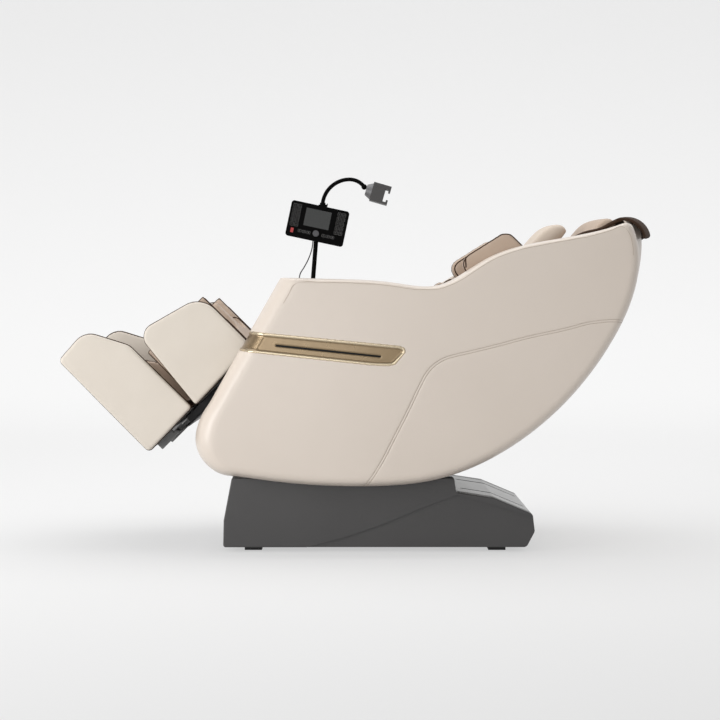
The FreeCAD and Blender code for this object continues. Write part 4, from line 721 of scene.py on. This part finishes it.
def filled(node_name, new_name, finish):
    """A loose cushion, swollen by its filling."""
    piece = solid_copy([node_name], new_name)
    fill_out(piece)
    return dressed(piece, node_name, finish)


def drawn(node_name, new_name, voxel, rounds, finish, body="body"):
    """Leather drawn tight over a firm form, its corners eased."""
    piece = solid_copy([node_name], new_name)
    even_skin(piece, voxel, rounds)
    return dressed(piece, node_name, finish, body)


def welt(name, piece, plane, radius, body):
    """A brown leather welt right round a piece, in an upright plane."""
    bead(name, outline_at(piece, plane), radius, brown_leather, body,
         closed=True)


tan_leather = leather("tan_leather", TAN, TAN_SHADE)
brown_leather = leather("brown_leather", BROWN, BROWN_SHADE, 0.75, 0.18)
cream_leather = leather("cream_leather", CREAM, CREAM_SHADE, 0.4)
pillow_cream = leather("pillow_cream", PILLOW_CREAM, PILLOW_SHADE, 0.5)
filled("seat_cushion", "seat_leather", tan_leather)
filled("back_cushion", "back_leather", tan_leather)
head = drawn("head_pad", "head_leather", HEAD_VOXEL, FIRM_EDGE, tan_leather)
press_in(head, lambda place, normal: HEAD_SUNK * max(0.0, normal.z))
drawn("head_pillow", "pillow_leather", PAD_VOXEL, FIRM_EDGE, pillow_cream,
      "pillow")
for side_name, side in SIDES:
    for pad in ("shoulder_wing", "arm_pad"):
        covered = drawn(f"{pad}_{side_name}", f"{pad}_leather_{side_name}", PAD_VOXEL,
                        SOFT_EDGE, tan_leather)
        for number, plane in enumerate(PAD_WELTS):
            welt(f"{pad}_welt_{number}_{side_name}", covered, side * plane,
                 PAD_WELT_RADIUS, "body")
        if pad == "shoulder_wing":
            skin = skin_of(covered)
            line = [Vector((x, side * WING_PANEL_PLANE, z)) for x, z in WING_PANEL_LINE]
            inward = Vector((0, -side, 0))
            laid = [skin.ray_cast(p, inward, 0.2)[0] for p in smooth_path(line, 0.003)]
            bead(f"wing_panel_welt_{side_name}", [p for p in laid if p], WING_PANEL_RADIUS,
                 brown_leather, "body")

# Hood: a thin cream moulding bowed out behind the back, with a dark padded band over
# its upper edge and a slim padded arm down each side.
HOOD_BAND_VOXEL = 0.004
HOOD_BAND_EASING = 3
HOOD_ARM = (
    (0.601, 0.968), (0.648, 0.986), (0.695, 1.008), (0.748, 1.022), (0.785, 1.042),
    (0.810, 1.052), (0.832, 1.052),
)
HOOD_ARM_PLACE = 0.282
HOOD_ARM_RADIUS = 0.0065
hood = solid_copy(["back_shell"], "hood_moulding")
take(hood)
bpy.ops.object.shade_smooth_by_angle(angle=math.radians(30))
dressed(hood, "back_shell", shell_leather)
hood_band = solid_copy(["hood_lip"], "hood_band")
even_skin(hood_band, HOOD_BAND_VOXEL, HOOD_BAND_EASING)
dressed(hood_band, "hood_lip", brown_leather)
for side_name, side in SIDES:
    line = [Vector((x, side * HOOD_ARM_PLACE, z)) for x, z in HOOD_ARM]
    arm = bead(f"hood_arm_{side_name}", smooth_path(line, 0.004), HOOD_ARM_RADIUS,
               brown_leather, "body")

# Legrest: calf and foot units with cream side panels edged in thin brown piping, and
# tan padded channels between them, whose facing ends are dark brown as painted shade
# for the deep gap between the units. The foot unit slides out on two bars.
PANEL_VOXEL = 0.004
PANEL_EASING = 4
PIPING_PLANE = 0.2675
PIPING_RADIUS = 0.0028
CHANNEL_EASING = 5
CHANNEL_WELTS = (0.2575, 0.238, 0.212)
CHANNEL_WELT_RADIUS = 0.002
LEG_LINE = Vector((0.7071, 0, 0.7071))
for unit, body, facing in (("calf", "legrest", -1), ("foot", "footrest", 1)):
    for side_name, side in SIDES:
        node_name = f"{unit}_panel_{side_name}"
        panel = solid_copy([node_name], f"{unit}_side_{side_name}")
        even_skin(panel, PANEL_VOXEL, PANEL_EASING)
        dressed(panel, node_name, cream_leather, body)
        welt(f"{unit}_piping_{side_name}", panel, side * PIPING_PLANE, PIPING_RADIUS, body)
    padded = drawn(f"{unit}_pad", f"{unit}_leather", PAD_VOXEL, CHANNEL_EASING, tan_leather,
                   body)
    # The ends that face the other unit take the dark brown: painted shade for the deep gap
    # between calf and foot units.
    padded.data.materials.append(brown_leather)
    for face in padded.data.polygons:
        if face.normal.dot(LEG_LINE) * facing > 0.8:
            face.material_index = 1
    for number, plane in enumerate(CHANNEL_WELTS):
        for side_name, side in SIDES:
            welt(f"{unit}_pad_welt_{number}_{side_name}", padded, side * plane,
                 CHANNEL_WELT_RADIUS, body)
roller_rubber = new_finish("roller_rubber", (0.06, 0.06, 0.062), 0.6)
grain(roller_rubber, 0.002, 0.0002)
wear(base_plastic, "legrest_back_cover", "sole_plate")
wear(roller_rubber, "foot_roller_left", "foot_roller_right", "kneading_shaft")

# Tablet and phone holder: black mouldings on a black pole, with a red power key, a
# round key pad, a dark screen with printed keys round it, and a bent flexible neck.
TABLET_CENTRE = Vector((-0.156, 0.305, 1.075))
TABLET_TURN = math.radians(12)
KEY_SIZE = 0.0125
KEY_CORNER = 0.0022
KEY_LINE = 0.0007
KEY_SIGN = 0.0017
KEY_GAP = 0.0001
SIDE_KEYS = (-0.0885, -0.0725, 0.0705, 0.0865)
SIDE_KEY_ROWS = 5
SIDE_KEYS_TOP = 0.047
SIDE_KEY_PITCH = 0.0165
LOW_KEYS = (-0.056, -0.040, -0.024, 0.030, 0.046, 0.062)
LOW_KEYS_LEVEL = -0.038
LOW_KEY_HEIGHT = 0.0095
satin_black = new_finish("satin_black", (0.003, 0.003, 0.003), 0.4, specular=0.02)
polish_marks(satin_black, 0.03, 0.34, 0.46)
holder_grey = new_finish("holder_grey", (0.05, 0.049, 0.049), 0.5)
polish_marks(holder_grey, 0.02, 0.42, 0.58)
grain(holder_grey, 0.001, 0.00005)
screen_glass = new_finish("screen_glass", (0.014, 0.016, 0.015), 0.2, specular=0.2)
polish_marks(screen_glass, 0.03, 0.05, 0.12)
key_red = new_finish("key_red", (0.4, 0.02, 0.02), 0.35)
polish_marks(key_red, 0.01, 0.3, 0.4)
key_grey = new_finish("key_grey", (0.05, 0.05, 0.055), 0.35)
polish_marks(key_grey, 0.01, 0.3, 0.4)
ring_grey = new_finish("ring_grey", (0.12, 0.12, 0.125), 0.4)
polish_marks(ring_grey, 0.01, 0.35, 0.45)
key_print = new_finish("key_print", (0.16, 0.16, 0.16), 0.6)
clouding(key_print, (0.15, 0.15, 0.15), (0.19, 0.19, 0.19), 0.004)
wear(satin_black, "tablet_pole", "swivel_bracket", "tablet_hinge", "tablet_case",
     "neck_clip", "phone_gooseneck")
wear(holder_grey, "phone_clamp", "clamp_jaw")
wear(screen_glass, "tablet_screen")
wear(key_red, "power_button")
wear(key_grey, "navigation_pad")
wear(ring_grey, "clamp_ring")
case_face = min(v.co.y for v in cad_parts["tablet_case"].data.vertices)


def on_tablet(shape, x, z):
    """Stands a flat shape on the tablet's face, at x and z from the face's middle."""
    turn = Matrix.Rotation(TABLET_TURN, 4, "Y")
    shape.location = TABLET_CENTRE + turn @ Vector((x, 0, z))
    shape.location.y = case_face - KEY_GAP
    shape.rotation_euler = (math.radians(90), TABLET_TURN, 0)
    take(shape)
    bpy.ops.object.transform_apply(location=True, rotation=True, scale=True)
    return shape


def printed_key(x, z, width, height, sides):
    """One key's printed outline, and a small sign of that many sides within it."""
    deselect()
    bpy.ops.mesh.primitive_plane_add(size=1, location=(0, 0, 0))
    key = bpy.context.object
    key.scale = (width, height, 1)
    bpy.ops.object.transform_apply(scale=True)
    bpy.ops.object.mode_set(mode="EDIT")
    bpy.ops.mesh.select_all(action="SELECT")
    bpy.ops.mesh.bevel(offset=KEY_CORNER, segments=3, affect="VERTICES")
    bpy.ops.mesh.select_all(action="SELECT")
    bpy.ops.mesh.inset(thickness=KEY_LINE)
    bpy.ops.mesh.delete(type="FACE")
    bpy.ops.object.mode_set(mode="OBJECT")
    deselect()
    bpy.ops.mesh.primitive_circle_add(vertices=sides, radius=KEY_SIGN, fill_type="NGON",
                                      location=(0, 0, 0))
    sign = bpy.context.object
    return [on_tablet(key, x, z), on_tablet(sign, x, z)]


prints = []
for row in range(SIDE_KEY_ROWS):
    z = SIDE_KEYS_TOP - SIDE_KEY_PITCH * row
    for column, x in enumerate(SIDE_KEYS):
        prints += printed_key(x, z, KEY_SIZE, KEY_SIZE, 3 + (row + column) % 4)
for column, x in enumerate(LOW_KEYS):
    prints += printed_key(x, LOW_KEYS_LEVEL, KEY_SIZE, LOW_KEY_HEIGHT, 3 + column % 3)
take(prints[0])
for piece in prints[1:]:
    piece.select_set(True)
bpy.ops.object.join()
key_prints = bpy.context.object
key_prints.name = "key_prints"
key_prints.data.materials.append(key_print)
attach(key_prints, "tablet")
